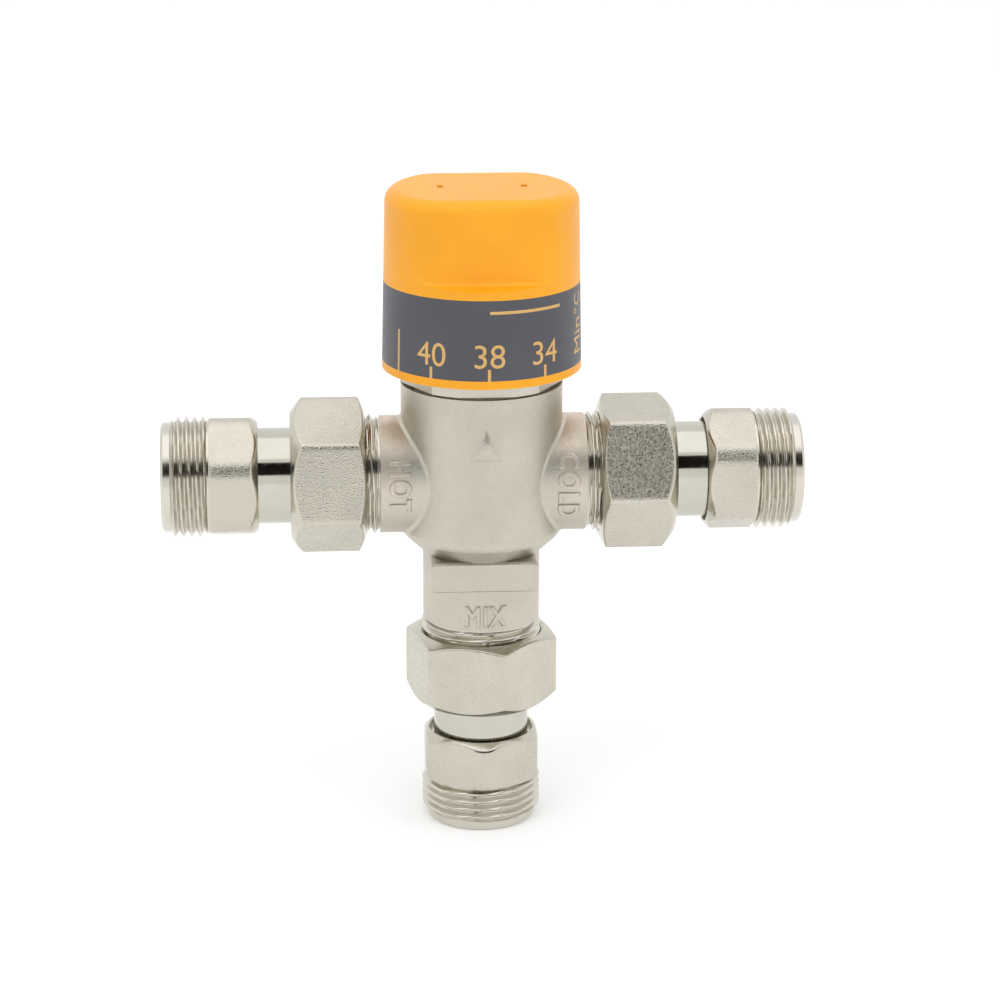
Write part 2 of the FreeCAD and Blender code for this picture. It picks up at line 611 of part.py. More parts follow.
def control_cap():
    shape = cap_blank()
    skirt_room = Part.makeCone(CAP_R_FOOT - CAP_WALL, cap_radius(CAP_ROOM_TOP) - CAP_WALL,
                               CAP_ROOM_TOP - CAP_FOOT, V(0, 0, CAP_FOOT))
    core_room = cyl(CAP_CORE_R, CAP_ROOM_TOP - 1, CAP_TOP - CAP_CROWN - PLUG_T)
    shape = shape.cut([skirt_room, core_room])
    pillar = cyl(PLUG_R + 1.6, WELL_FLOOR - FLOOR_T, CAP_TOP - 1)
    boss = cyl(BOSS_R, BOSS_FOOT, WELL_FLOOR)
    web = Part.makeBox(CAP_CORE_R + 0.6, 1.6, CAP_TOP - CAP_CROWN - WELL_FLOOR + FLOOR_T,
                       V(0, -0.8, WELL_FLOOR - FLOOR_T))
    shape = fused(shape, pillar, boss, *around(web, 6))
    shape = fused(shape, stop_rib())
    spline = cyl(HEAD_R + RUN_FIT, BOSS_FOOT - 1, WELL_FLOOR - FLOOR_T)
    tooth = cyl(SPLINE_DEPTH - RUN_FIT, BOSS_FOOT - 1, WELL_FLOOR - FLOOR_T)
    tooth.translate(V(HEAD_R, 0, 0))
    spline = spline.cut(around(tooth, SPLINE_TEETH))
    return shape.cut([spline, cyl(SCREW_R + 0.25, BOSS_FOOT, WELL_FLOOR + 1),
                      cyl(WELL_R, WELL_FLOOR, CAP_TOP + 1),
                      cyl(PLUG_R + 0.05, CAP_TOP - PLUG_T, CAP_TOP + 1),
                      scale_recess(SCALE_T)])


def stop_rib():
    """Rib inside the skirt that meets the bonnet's stop lug at both ends of the turn."""
    foot = BONNET_HEX_TOP + 1
    rib = Part.makeBox(CAP_R_FOOT - CAP_WALL - STOP_LUG_R + 2.5, CAP_RIB_W,
                       CAP_ROOM_TOP - foot, V(STOP_LUG_R - 2.0, -CAP_RIB_W / 2, foot))
    rib.rotate(V(0, 0, 0), V(0, 0, 1), CAP_RIB_MID)
    return rib


def scale_band():
    """Printed scale that wraps the skirt of the cap."""
    bottom, top = SCALE_BOTTOM, SCALE_TOP
    outer = Part.makeCone(cap_radius(bottom), cap_radius(top), top - bottom, V(0, 0, bottom))
    inner = Part.makeCone(cap_radius(bottom) - SCALE_T, cap_radius(top) - SCALE_T,
                          top - bottom, V(0, 0, bottom))
    return outer.cut(inner)


def cap_plug():
    """Snap-in disc over the fixing screw, with a pry notch at each side."""
    disc = cyl(PLUG_R, CAP_TOP - PLUG_T, CAP_TOP)
    ring = tube(WELL_R - 0.1, WELL_R - 1.1, CAP_TOP - PLUG_T - 2.5, CAP_TOP - PLUG_T + 0.2)
    notches = []
    for x in (-PLUG_R, PLUG_R - PLUG_NOTCH):
        corner = V(x, -PLUG_NOTCH_W / 2, CAP_TOP - PLUG_T * 2 / 3)
        notches.append(Part.makeBox(PLUG_NOTCH, PLUG_NOTCH_W, PLUG_T, corner))
    return fused(disc, ring).cut(notches)


def cap_screw():
    under_head = WELL_FLOOR
    shape = turned([(0, under_head - SCREW_LENGTH), (SCREW_R - 0.5, under_head - SCREW_LENGTH),
                    (SCREW_R, under_head - SCREW_LENGTH + 0.5), (SCREW_R, under_head),
                    (SCREW_HEAD_R, under_head), (SCREW_HEAD_R, under_head + SCREW_HEAD_T - 0.4),
                    (SCREW_HEAD_R - 0.4, under_head + SCREW_HEAD_T),
                    (0, under_head + SCREW_HEAD_T)])
    return shape.cut(hexagon(SCREW_SOCKET_AF, under_head + 0.9, under_head + SCREW_HEAD_T + 1))


# ---------------------------------------------------------------------------- unions
# Each union is drawn along +Z with z counted from the crossing of the port axes.
def union_nut(port):
    start = PORT_REACH[port] + NUT_START
    end = start + NUT_LENGTH
    shape = turned_hexagon(NUT_AF, NUT_CORNER_R, start, end, NUT_FACE_R,
                           NUT_CHAMFER_IN, NUT_CHAMFER_OUT)
    bore = G34_MAJOR_R + THREAD_FIT
    lead = 0.5
    shape = shape.cut([cyl(bore, start - 1, end - NUT_SHOULDER),
                       cyl(TAIL_R + 0.2, start, end + 1),
                       turned([(0, start), (bore + lead, start), (bore, start + lead),
                               (0, start + lead)])])
    shape.rotate(V(0, 0, 0), V(0, 0, 1), HEX_CLOCK[port][0])
    return shape


def union_gasket(port):
    start = PORT_REACH[port] + PORT_THREAD
    return tube(GASKET_R, PORT_BORE_R, start, start + GASKET_T)


def union_tail(port):
    """Flanged tail piece; an inlet tail is bored out for its check valve."""
    face = PORT_REACH[port] + TAIL_FACE
    shoulder = PORT_REACH[port] + ADAPTER_START + SPIGOT_SHOULDER
    end = shoulder + SPIGOT_LEN
    shape = turned([(0, face), (FLANGE_R, face), (FLANGE_R, face + FLANGE_T),
                    (TAIL_R, face + FLANGE_T), (TAIL_R, shoulder - 0.4),
                    (TAIL_R - 0.4, shoulder), (SPIGOT_R, shoulder), (SPIGOT_R, end - 0.6),
                    (SPIGOT_R - 0.6, end), (0, end)])
    cuts = [cyl(TAIL_BORE_R, face - 1, end + 1), groove(SPIGOT_R, tail_ring_z(port))]
    if port != "outlet":
        cuts.append(cyl(CARTRIDGE_R + RUN_FIT, face - 1,
                        face + CARTRIDGE_LEN + STRAINER_RIM_T))
    return shape.cut(cuts)


def tail_ring_z(port):
    return PORT_REACH[port] + ADAPTER_START + SPIGOT_SHOULDER + 2.0


def tail_ring(port):
    return o_ring(SPIGOT_R, tail_ring_z(port))


def union_adapter(port):
    """Hexagon adapter with its male G 3/4 end, screwed onto the tail's spigot."""
    start = PORT_REACH[port] + ADAPTER_START
    hex_end = start + ADAPTER_HEX
    end = hex_end + ADAPTER_THREAD
    grip = turned_hexagon(ADAPTER_AF, ADAPTER_CORNER_R, start, hex_end, ADAPTER_FACE_R,
                          ADAPTER_CHAMFER, 0)
    grip.rotate(V(0, 0, 0), V(0, 0, 1), HEX_CLOCK[port][1])
    root = G34_MAJOR_R - G34_UNDERCUT
    lead = G34_MAJOR_R - G34_LEAD_DEPTH
    thread = turned([(0, hex_end - EDGE_BREAK), (root, hex_end - EDGE_BREAK),
                     (root, hex_end), (G34_MAJOR_R, hex_end),
                     (G34_MAJOR_R, end - G34_LEAD - G34_LEAD_DEPTH / 2),
                     (lead, end - G34_LEAD), (lead, end - EDGE_BREAK),
                     (lead - EDGE_BREAK, end), (0, end)])
    spigot_end = start + SPIGOT_SHOULDER + SPIGOT_LEN
    recess = TAIL_R + RECESS_GAP
    return fused(grip, thread).cut([
        cyl(recess, start - 1, start + SPIGOT_SHOULDER),
        cyl(SPIGOT_R + THREAD_FIT, start, spigot_end + 0.1),
        cyl(ADAPTER_BORE_R, start, end + 1)])


# ------------------------------------------------------------ inlet check and strainer
def check_housing(port):
    """Check-valve cartridge: seat lip upstream, ribbed guide for the stem downstream."""
    face = PORT_REACH[port] + TAIL_FACE
    end = face + CARTRIDGE_LEN
    room = CARTRIDGE_R - CARTRIDGE_WALL
    shell = tube(CARTRIDGE_R, room, face, end)
    seat = tube(CARTRIDGE_R, SEAT_HOLE_R, end - SEAT_LIP_T, end)
    hub = cyl(HUB_R, face, face + HUB_LEN)
    rib = Part.makeBox(room + 0.3, RIB_W, HUB_LEN - 1, V(0, -RIB_W / 2, face))
    shape = fused(shell, seat, hub, *around(rib, 3))
    return shape.cut(cyl(POPPET_STEM_R + RUN_FIT, face - 1, face + HUB_LEN + 1))


def check_poppet(port):
    """Mushroom poppet, closed on its seat; it opens towards the body."""
    face = PORT_REACH[port] + TAIL_FACE
    top = face + CARTRIDGE_LEN - SEAT_LIP_T
    under = top - POPPET_T
    return turned([(0, face + 0.4), (POPPET_STEM_R, face + 0.4), (POPPET_STEM_R, under - 0.6),
                   (POPPET_STEM_R + 0.6, under), (POPPET_R, under), (POPPET_R, top - 0.5),
                   (POPPET_R - 0.5, top), (SEAT_HOLE_R - 1.0, top), (0, top + 1.2)])


def check_spring(port):
    face = PORT_REACH[port] + TAIL_FACE
    under = face + CARTRIDGE_LEN - SEAT_LIP_T - POPPET_T
    return coil(3.4, 0.6, face + HUB_LEN, under, 4)


def strainer(port):
    """Perforated cup ahead of the check valve, held by its rim."""
    rim = PORT_REACH[port] + TAIL_FACE + CARTRIDGE_LEN
    end = rim + STRAINER_LEN
    cup = tube(STRAINER_R, STRAINER_R - STRAINER_WALL, rim, end)
    floor = cyl(STRAINER_R, end - STRAINER_WALL, end)
    flange = tube(CARTRIDGE_R, STRAINER_R - STRAINER_WALL, rim, rim + STRAINER_RIM_T)
    holes = []
    for row in range(3):
        z = rim + 2.6 + 2.6 * row
        hole = Part.makeCylinder(MESH_HOLE / 2, STRAINER_R + 1, V(0, 0, z), V(1, 0, 0))
        hole.rotate(V(0, 0, 0), V(0, 0, 1), 15.0 * (row % 2))
        holes += around(hole, 12)
    drill = cyl(MESH_HOLE / 2, end - 2, end + 1)
    drill.translate(V(STRAINER_R * 0.55, 0, 0))
    holes += around(drill, 8)
    return fused(cup, floor, flange).cut(holes)


# ------------------------------------------------------------------------- all pieces
def main():
    save("valve_body", valve_body())
    save("bonnet", bonnet())
    save("bonnet_o_ring", o_ring(BONNET_SKIRT_R, bonnet_ring_z()))
    save("temperature_spindle", spindle())
    for name, z in zip(("lower", "upper"), spindle_ring_heights()):
        save("spindle_o_ring_%s" % name, o_ring(STEM_R, z))
    save("spindle_circlip", spindle_clip())
    save("adjuster", adjuster())
    save("plunger_circlip", retainer())
    save("overload_plunger", plunger())
    save("overload_spring", overload_spring())
    save("push_pin", push_pin())
    save("wax_element", wax_element())
    save("shuttle", shuttle())
    save("shuttle_o_ring", o_ring(SHUTTLE_R, 0))
    save("return_spring", return_spring())
    save("control_cap", control_cap())
    save("scale_band", scale_band())
    save("cap_plug", cap_plug())
    save("cap_screw", cap_screw())
    for port in ("hot", "cold", "outlet"):
        for piece, make in (("union_nut", union_nut), ("gasket", union_gasket),
                            ("tail", union_tail), ("tail_o_ring", tail_ring),
                            ("adapter", union_adapter)):
            save("%s_%s" % (port, piece), on_port(make(port), port))
    for port in ("hot", "cold"):
        for piece, make in (("check_housing", check_housing), ("check_poppet", check_poppet),
                            ("check_spring", check_spring), ("strainer", strainer)):
            save("%s_%s" % (port, piece), on_port(make(port), port))


main()
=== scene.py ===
import math

import bmesh
import bpy
from bpy.props import FloatProperty, FloatVectorProperty, IntProperty, PointerProperty
from mathutils import Matrix, Vector


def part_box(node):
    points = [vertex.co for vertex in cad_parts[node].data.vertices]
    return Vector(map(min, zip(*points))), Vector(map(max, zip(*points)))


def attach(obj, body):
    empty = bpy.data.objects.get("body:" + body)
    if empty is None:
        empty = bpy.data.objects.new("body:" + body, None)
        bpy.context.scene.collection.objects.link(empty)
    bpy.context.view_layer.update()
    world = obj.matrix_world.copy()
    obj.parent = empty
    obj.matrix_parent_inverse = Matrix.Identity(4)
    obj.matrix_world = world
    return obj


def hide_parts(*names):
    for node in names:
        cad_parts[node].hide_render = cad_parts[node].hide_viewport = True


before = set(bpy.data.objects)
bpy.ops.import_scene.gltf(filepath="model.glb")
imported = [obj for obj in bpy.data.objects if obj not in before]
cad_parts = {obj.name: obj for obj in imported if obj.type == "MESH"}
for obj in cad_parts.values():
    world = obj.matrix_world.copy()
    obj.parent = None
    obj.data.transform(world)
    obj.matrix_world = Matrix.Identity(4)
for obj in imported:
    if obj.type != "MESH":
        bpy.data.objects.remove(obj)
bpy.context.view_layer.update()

bl_info = {
    "name": "Thermostatic mixing valve",
    "version": (1, 0, 0),
    "blender": (4, 5, 0),
    "location": "View3D > Sidebar > Mixing valve",
    "description": "Finishes, threads, hexagons, scale print and studio for a mixing valve",
    "category": "Add Mesh",
}

MM = 0.001

# Small cut and turned details, in millimetres unless a share or a slope
CREST_SHARE = 0.16        # of the half pitch: half the flat crest
FLANK_SHARE = 0.70        # of the half pitch: the flank
FLANK_ROUNDING = 0.35     # how much of the flank is eased into crest and root
GROOVE_DEPTH = 0.78       # of the thread's depth: the relief groove's floor
GROOVE_FLOOR = 0.6        # of the relief's width: the flat floor
RAMP_SLOPE = 2.2          # how steeply the thread rises out of the groove
PORT_THREAD = 12.0        # length of a port's thread
NUT_MOUTH = 0.5           # lead at a nut's open end
NUT_UNDERCUT = 1.0        # plain turned ring behind a nut's thread
NUT_THREAD_STOP = 1.2     # where the thread stops before the lip
NUT_HOLE_CHAMFER = 0.35
ADAPTER_BACK_CHAMFER = 0.15
BORE_CHAMFER = 0.3
RECESS_CHAMFER = 0.25
BORE_INSIDE = 11.3        # smaller radii on an adapter are bored, not forged
CHAMFER_INSIDE = 11.0     # smaller radii on a hexagon are not its end chamfers
CHAMFER_TILT = 0.34       # least lean of a turned chamfer's normal along the axis
MARK_HALF = 3.6           # half width round the index mark
MARK_TOP, MARK_FOOT = 0.90, 1.08   # scale of the mark's top and foot
TOUCH = 0.02              # reach for telling which points lie on a surface

# ------------------------------------------------------------- measured from the frame
PORTS = ("hot", "cold", "outlet")
PORT_TURN = {"hot": -90.0, "cold": 90.0, "outlet": 180.0}
HEX_CLOCK = {"hot": (7.4, -10.1), "cold": (-22.9, 1.0), "outlet": (15.5, 30.0)}


def middle(node):
    low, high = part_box(node)
    return (low + high) / 2


AXIS_Z = middle("hot_tail").z
CROSSING = Vector((0.0, 0.0, AXIS_Z))
BAND_FOOT, BAND_TOP = (corner.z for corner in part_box("scale_band"))
BAND_RADIUS = (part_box("scale_band")[1].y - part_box("scale_band")[0].y) / 2 / MM


def port_frame(port):
    """Turns millimetres along a port's own axis into metres in the valve's frame."""
    turn = Matrix.Rotation(math.radians(PORT_TURN[port]), 4, "Y")
    return Matrix.Translation(CROSSING) @ turn @ Matrix.Scale(MM, 4)


def along_port(node, port):
    """Where a node starts and ends along its port, in millimetres from the crossing."""
    back = port_frame(port).inverted()
    ends = [(back @ corner).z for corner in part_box(node)]
    return min(ends), max(ends)


# ---------------------------------------------------------------------- settings
def length(name, text, value):
    return FloatProperty(name=name, description=text, default=value, min=0.0)


def colour(name, text, value):
    return FloatVectorProperty(name=name, description=text, default=value,
                               subtype="COLOR", size=3, min=0.0, max=1.0)


class PipeThread(bpy.types.PropertyGroup):
    """G 3/4 parallel pipe thread, in millimetres"""
    major: length("Major radius", "Radius over the crests, in mm", 13.22)
    pitch: length("Pitch", "Distance from crest to crest, in mm", 1.814)
    depth: length("Depth", "Crest to root, in mm", 1.16)
    chamfer: length("Port chamfer", "Chamfer at a port's open end, in mm", 1.1)
    lead: length("Lead", "Plain end of an adapter, in mm", 2.0)
    lead_depth: length("Lead depth", "How far that end is turned down, in mm", 1.2)
    edge: length("Edge break", "Chamfer on turned ends, in mm", 0.5)
    relief: length("Relief", "Width of the groove behind the thread, in mm", 0.45)
    fit: length("Fit", "Gap between a nut's thread and the port's, in mm", 0.05)
    per_pitch: IntProperty(name="Rings per pitch", description="Fineness along the thread",
                           default=10, min=6, max=24)
    around: IntProperty(name="Columns", description="Fineness round the thread",
                        default=180, min=60, max=360)


class UnionHexagons(bpy.types.PropertyGroup):
    """Union nuts and adapters, in millimetres"""
    nut_flats: length("Nut across flats", "Across flats, in mm", 30.0)
    nut_corner: length("Nut corner radius", "Turned corners, in mm", 17.35)
    nut_face: length("Nut face radius", "Where the end chamfers start, in mm", 13.9)
    nut_chamfer_in: length("Chamfer, body side", "Length of the chamfer, in mm", 1.5)
    nut_chamfer_out: length("Chamfer, tail side", "Length of the chamfer, in mm", 2.6)
    nut_lip: length("Nut lip", "Thickness of the lip behind the collar, in mm", 2.6)
    tail: length("Tail radius", "Radius of the plain tails, in mm", 10.55)
    tail_gap: length("Gap round the tail", "Between the nut's lip and the tail, in mm", 0.2)
    adapter_flats: length("Adapter across flats", "Across flats, in mm", 25.0)
    adapter_corner: length("Adapter corner radius", "Turned corners, in mm", 13.6)
    adapter_face: length("Adapter face radius", "Where the chamfer starts, in mm", 11.85)
    adapter_chamfer: length("Adapter chamfer", "Length of the chamfer, in mm", 1.6)
    adapter_hex: length("Adapter hexagon", "Length of the hexagon, in mm", 10.6)
    adapter_bore: length("Adapter bore", "Radius of the way through, in mm", 8.5)
    recess_gap: length("Recess", "Ring of air round the tail, in mm", 0.9)
    recess_depth: length("Recess depth", "Depth of that ring, in mm", 1.4)
    spigot: length("Spigot bore", "Radius of the bore for the tail's spigot, in mm", 9.85)
    spigot_depth: length("Spigot depth", "Depth of that bore, in mm", 10.5)
    soft: length("Edge softness", "Rounding of the forged edges, in mm", 0.5)


class ScalePrint(bpy.types.PropertyGroup):
    """Print on the scale band, in millimetres"""
    digit: length("Digit height", "Height of the numbers, in mm", 4.95)
    digit_foot: length("Digit foot", "Foot of the numbers above the band's edge, in mm", 2.85)
    tick: length("Tick", "Height of a tick, in mm", 2.55)
    stroke: length("Stroke", "Width of ticks and lines, in mm", 0.64)
    bolder: length("Bolder", "Added to each side of a number's strokes, in mm", 0.0)
    long_tick: length("Long tick", "Height of the long tick, in mm", 9.1)
    skin: length("Ink", "Thickness of the print, in mm", 0.02)
    top_radius: length("Band top radius", "The band is a shallow cone, in mm", 21.31)


class CastMarks(bpy.types.PropertyGroup):
    """Cast words and index mark on the body, in millimetres"""
    height: length("Letter height", "Height of the cast capitals, in mm", 4.2)
    branch: length("Branch radius", "Radius of the round branches, in mm", 12.9)
    flat: length("Letter wall", "Straight part of a letter's wall, in mm", 0.14)
    edge: length("Letter edge", "Rounding of a letter's edge, in mm", 0.34)
    thinner: length("Letter top", "Taken off each side of a letter's top, in mm", 0.03)
    mark_raise: length("Mark raise", "Added to the die-forged mark's height, in mm", 0.2)
    mark_low: length("Mark foot", "Foot of the index mark over the inlets, in mm", 7.6)
    mark_high: length("Mark point", "Point of the index mark over the inlets, in mm", 14.0)
    mark_proud: length("Mark radius", "Radius over the raised mark, in mm", 18.15)


class Finishes(bpy.types.PropertyGroup):
    """Colours of the surfaces"""
    plate: colour("Nickel", "Satin nickel plate", (0.58, 0.55, 0.47))
    bright: colour("Bright nickel", "Nickel over turned brass", (0.565, 0.55, 0.485))
    cut: colour("Thread", "Thinner plate in the cut threads", (0.64, 0.61, 0.54))
    # Painted reflection: a lighter, warmer colour than the plate, laid on the tops of the
    # branches beside the chest to stand in for the orange cap reflected there.
    painted_cap_reflection: colour("Painted cap reflection", "Lighter, warmer colour painted on the branch tops for the cap's reflection", (0.92, 0.76, 0.64))
    brass: colour("Brass", "Turned brass", (0.72, 0.50, 0.20))
    copper: colour("Copper", "Drawn copper bulb", (0.72, 0.34, 0.18))
    steel: colour("Steel", "Stainless wire and mesh", (0.55, 0.55, 0.54))
    cap: colour("Cap", "Orange moulding", (0.91, 0.385, 0.0125))
    band: colour("Scale band", "Dark grey wrap", (0.070, 0.071, 0.083))
    ink: colour("Print", "Numbers and ticks", (0.66, 0.40, 0.135))
    rubber: colour("Rubber", "O-rings", (0.018, 0.018, 0.019))
    fibre: colour("Fibre", "Union gaskets", (0.10, 0.16, 0.12))
    plastic: colour("Cartridge", "Check-valve moulding", (0.74, 0.73, 0.69))


class ValveSettings(bpy.types.PropertyGroup):
    """All settings of the valve"""
    thread: PointerProperty(type=PipeThread)
    unions: PointerProperty(type=UnionHexagons)
    scale: PointerProperty(type=ScalePrint)
    marks: PointerProperty(type=CastMarks)
    finish: PointerProperty(type=Finishes)


def settings():
    return bpy.context.scene.mixing_valve


# ------------------------------------------------------------------- shader helpers
class Shader:
    """One node material under construction."""

    def __init__(self, name):
        self.material = bpy.data.materials.new(name)
        self.material.use_nodes = True
        self.tree = self.material.node_tree
        self.tree.nodes.clear()
        self.out = self.tree.nodes.new("ShaderNodeOutputMaterial")
        self.surface = self.tree.nodes.new("ShaderNodeBsdfPrincipled")
        self.join(self.surface.outputs[0], self.out.inputs["Surface"])
        self.place = self.tree.nodes.new("ShaderNodeTexCoord").outputs["Object"]

    def join(self, source, target):
        self.tree.links.new(source, target)

    def noise(self, size_mm, detail=3.0, rough=0.55, stretch=(1, 1, 1)):
        """Noise with features of about that size, drawn out where stretch is small."""
        node = self.tree.nodes.new("ShaderNodeTexNoise")
        node.inputs["Scale"].default_value = 1.0
        node.inputs["Detail"].default_value = detail
        node.inputs["Roughness"].default_value = rough
        scale = self.tree.nodes.new("ShaderNodeMapping")
        scale.inputs["Scale"].default_value = [s / (size_mm * MM) for s in stretch]
        self.join(self.place, scale.inputs["Vector"])
        self.join(scale.outputs[0], node.inputs["Vector"])
        return node.outputs["Fac"]

    def pits(self, size_mm):
        """Height of a blasted skin: rounded dents of about that size, side by side."""
        node = self.tree.nodes.new("ShaderNodeTexVoronoi")
        node.feature = "SMOOTH_F1"
        node.inputs["Scale"].default_value = 1.0 / (size_mm * MM)
        node.inputs["Smoothness"].default_value = 0.35
        self.join(self.place, node.inputs["Vector"])
        return node.outputs["Distance"]

    def spread(self, source, low, high, from_low=0.3, from_high=0.7):
        node = self.tree.nodes.new("ShaderNodeMapRange")
        node.inputs["From Min"].default_value = from_low
        node.inputs["From Max"].default_value = from_high
        node.inputs["To Min"].default_value = low
        node.inputs["To Max"].default_value = high
        self.join(source, node.inputs["Value"])
        return node.outputs["Result"]

    def blend_colour(self, fac, first, second):
        node = self.tree.nodes.new("ShaderNodeMix")
        node.data_type = "RGBA"
        self.join(fac, node.inputs["Factor"])
        for socket, value in (("A", first), ("B", second)):
            inputs = [i for i in node.inputs if i.name == socket and i.type == "RGBA"]
            if hasattr(value, "links"):
                self.join(value, inputs[0])
            else:
                inputs[0].default_value = (*value, 1.0)
        return [o for o in node.outputs if o.type == "RGBA"][0]

    def times(self, first, second):
        node = self.tree.nodes.new("ShaderNodeMath")
        node.operation = "MULTIPLY"
        for socket, value in zip(node.inputs, (first, second)):
            if hasattr(value, "links"):
                self.join(value, socket)
            else:
                socket.default_value = value
        return node.outputs[0]

    def axis(self, letter):
        node = self.tree.nodes.new("ShaderNodeSeparateXYZ")
        self.join(self.place, node.inputs[0])
        return node.outputs[letter]

    def bump(self, height, depth_mm, strength=1.0, under=None):
        node = self.tree.nodes.new("ShaderNodeBump")
        node.inputs["Strength"].default_value = strength
        node.inputs["Distance"].default_value = depth_mm * MM
        self.join(height, node.inputs["Height"])
        if under is not None:
            self.join(under, node.inputs["Normal"])
        return node.outputs["Normal"]

    def set(self, **sockets):
        for name, value in sockets.items():
            socket = self.surface.inputs[name.replace("_", " ")]
            if hasattr(value, "links"):
                self.join(value, socket)
            elif isinstance(value, (tuple, list)):
                socket.default_value = (*value, 1.0)
            else:
                socket.default_value = value


def shade(colour_value, factor):
    return tuple(min(1.0, c * factor) for c in colour_value)


def forged_nickel(name, grain_mm, grain_depth, rough, painted_cap_reflection=False):
    """Satin nickel over a forged skin: shot-blast grain, faint waviness, plate tint, and where
    asked a painted warm reflection of the cap on the branch tops.
    """
    finish = settings().finish
    shader = Shader(name)
    plate = tuple(finish.plate)
    tone = shader.spread(shader.noise(9.0, 4.0), 0.0, 1.0)
    base = shader.blend_colour(tone, shade(plate, 0.95), shade(plate, 1.05))
    # Painted reflection: the upper side of the branches next to the chest is blended, in noisy
    # patches, towards a lighter, warmer colour that stands in for the cap's reflection.
    if painted_cap_reflection:
        x = shader.axis("X")
        node = shader.tree.nodes.new("ShaderNodeMath")
        node.operation = "ABSOLUTE"
        shader.join(x, node.inputs[0])
        near = shader.spread(node.outputs[0], 0.0, 1.0, 15.5 * MM, 20.5 * MM)
        high = shader.spread(shader.axis("Z"), 0.0, 1.0, AXIS_Z - 6.0 * MM, AXIS_Z + 9.0 * MM)
        patch = shader.spread(shader.noise(6.0, 3.0), 0.15, 0.70, 0.35, 0.65)
        warm = shader.times(shader.times(near, high), patch)
        base = shader.blend_colour(warm, base, tuple(finish.painted_cap_reflection))
    grain = shader.pits(grain_mm)
    wave = shader.noise(2.4, 2.0)
    normal = shader.bump(wave, 0.02, 0.7)
    normal = shader.bump(grain, grain_depth, 1.0, normal)
    shader.set(Base_Color=base, Metallic=1.0, Normal=normal,
               Roughness=shader.spread(shader.noise(0.8, 3.0), rough - 0.05, rough + 0.07))
    return shader.material


def turned_nickel(name, axis, bright, rough=0.10, lines=0.0012):
    """Nickel over turned brass: fine tool lines round the axis."""
    shader = Shader(name)
    stretch = {"X": (1, 0.02, 0.02), "Z": (0.02, 0.02, 1)}[axis]
    tool = shader.noise(0.09, 2.0, 0.5, stretch)
    tone = shader.spread(shader.noise(5.0, 3.0), 0.0, 1.0)
    shader.set(Base_Color=shader.blend_colour(tone, shade(bright, 0.96), shade(bright, 1.04)),
               Metallic=1.0, Normal=shader.bump(tool, lines, 1.0),
               Roughness=shader.spread(shader.noise(1.5, 3.0), rough - 0.03, rough + 0.05))
    return shader.material


def turned_metal(name, tint, rough, axis="Z"):
    """Machined metal inside the valve, with tool lines and a little tarnish."""
    shader = Shader(name)
    stretch = {"X": (1, 0.02, 0.02), "Z": (0.02, 0.02, 1)}[axis]
    tarnish = shader.spread(shader.noise(4.0, 4.0), 0.0, 1.0)
    tool = shader.noise(0.12, 2.0, 0.5, stretch)
    shader.set(Base_Color=shader.blend_colour(tarnish, shade(tint, 0.82), shade(tint, 1.05)),
               Metallic=1.0, Normal=shader.bump(tool, 0.003, 1.0),
               Roughness=shader.spread(shader.noise(1.2, 3.0), rough - 0.06, rough + 0.08))
    return shader.material


def moulding(name, tint, rough, texture_mm=0.35, depth=0.004, vary=0.03, gloss=0.5):
    """Injection-moulded plastic: fine sparked texture and slight flow in the colour."""
    shader = Shader(name)
    flow = shader.spread(shader.noise(11.0, 2.0), 0.0, 1.0)
    normal = shader.bump(shader.noise(3.5, 1.0), 0.010, 0.5)
    pale, deep = shade(tint, 1 + vary), shade(tint, 1 - vary)
    shader.set(Base_Color=shader.blend_colour(flow, deep, pale),
               Metallic=0.0, IOR=1.5, Specular_IOR_Level=gloss,
               Normal=shader.bump(shader.noise(texture_mm, 2.0), depth, 1.0, normal),
               Roughness=shader.spread(shader.noise(2.0, 3.0), rough - 0.03, rough + 0.04))
    return shader.material


def soft_seal(name, tint, rough):
    """Rubber or fibre: matt, with a mottled skin."""
    shader = Shader(name)
    mottle = shader.spread(shader.noise(0.7, 4.0), 0.0, 1.0)
    shader.set(Base_Color=shader.blend_colour(mottle, shade(tint, 0.8), shade(tint, 1.3)),
               Metallic=0.0, IOR=1.45, Normal=shader.bump(shader.noise(0.25, 3.0), 0.01, 1.0),
               Roughness=shader.spread(shader.noise(1.0, 2.0), rough - 0.05, rough + 0.05))
    return shader.material


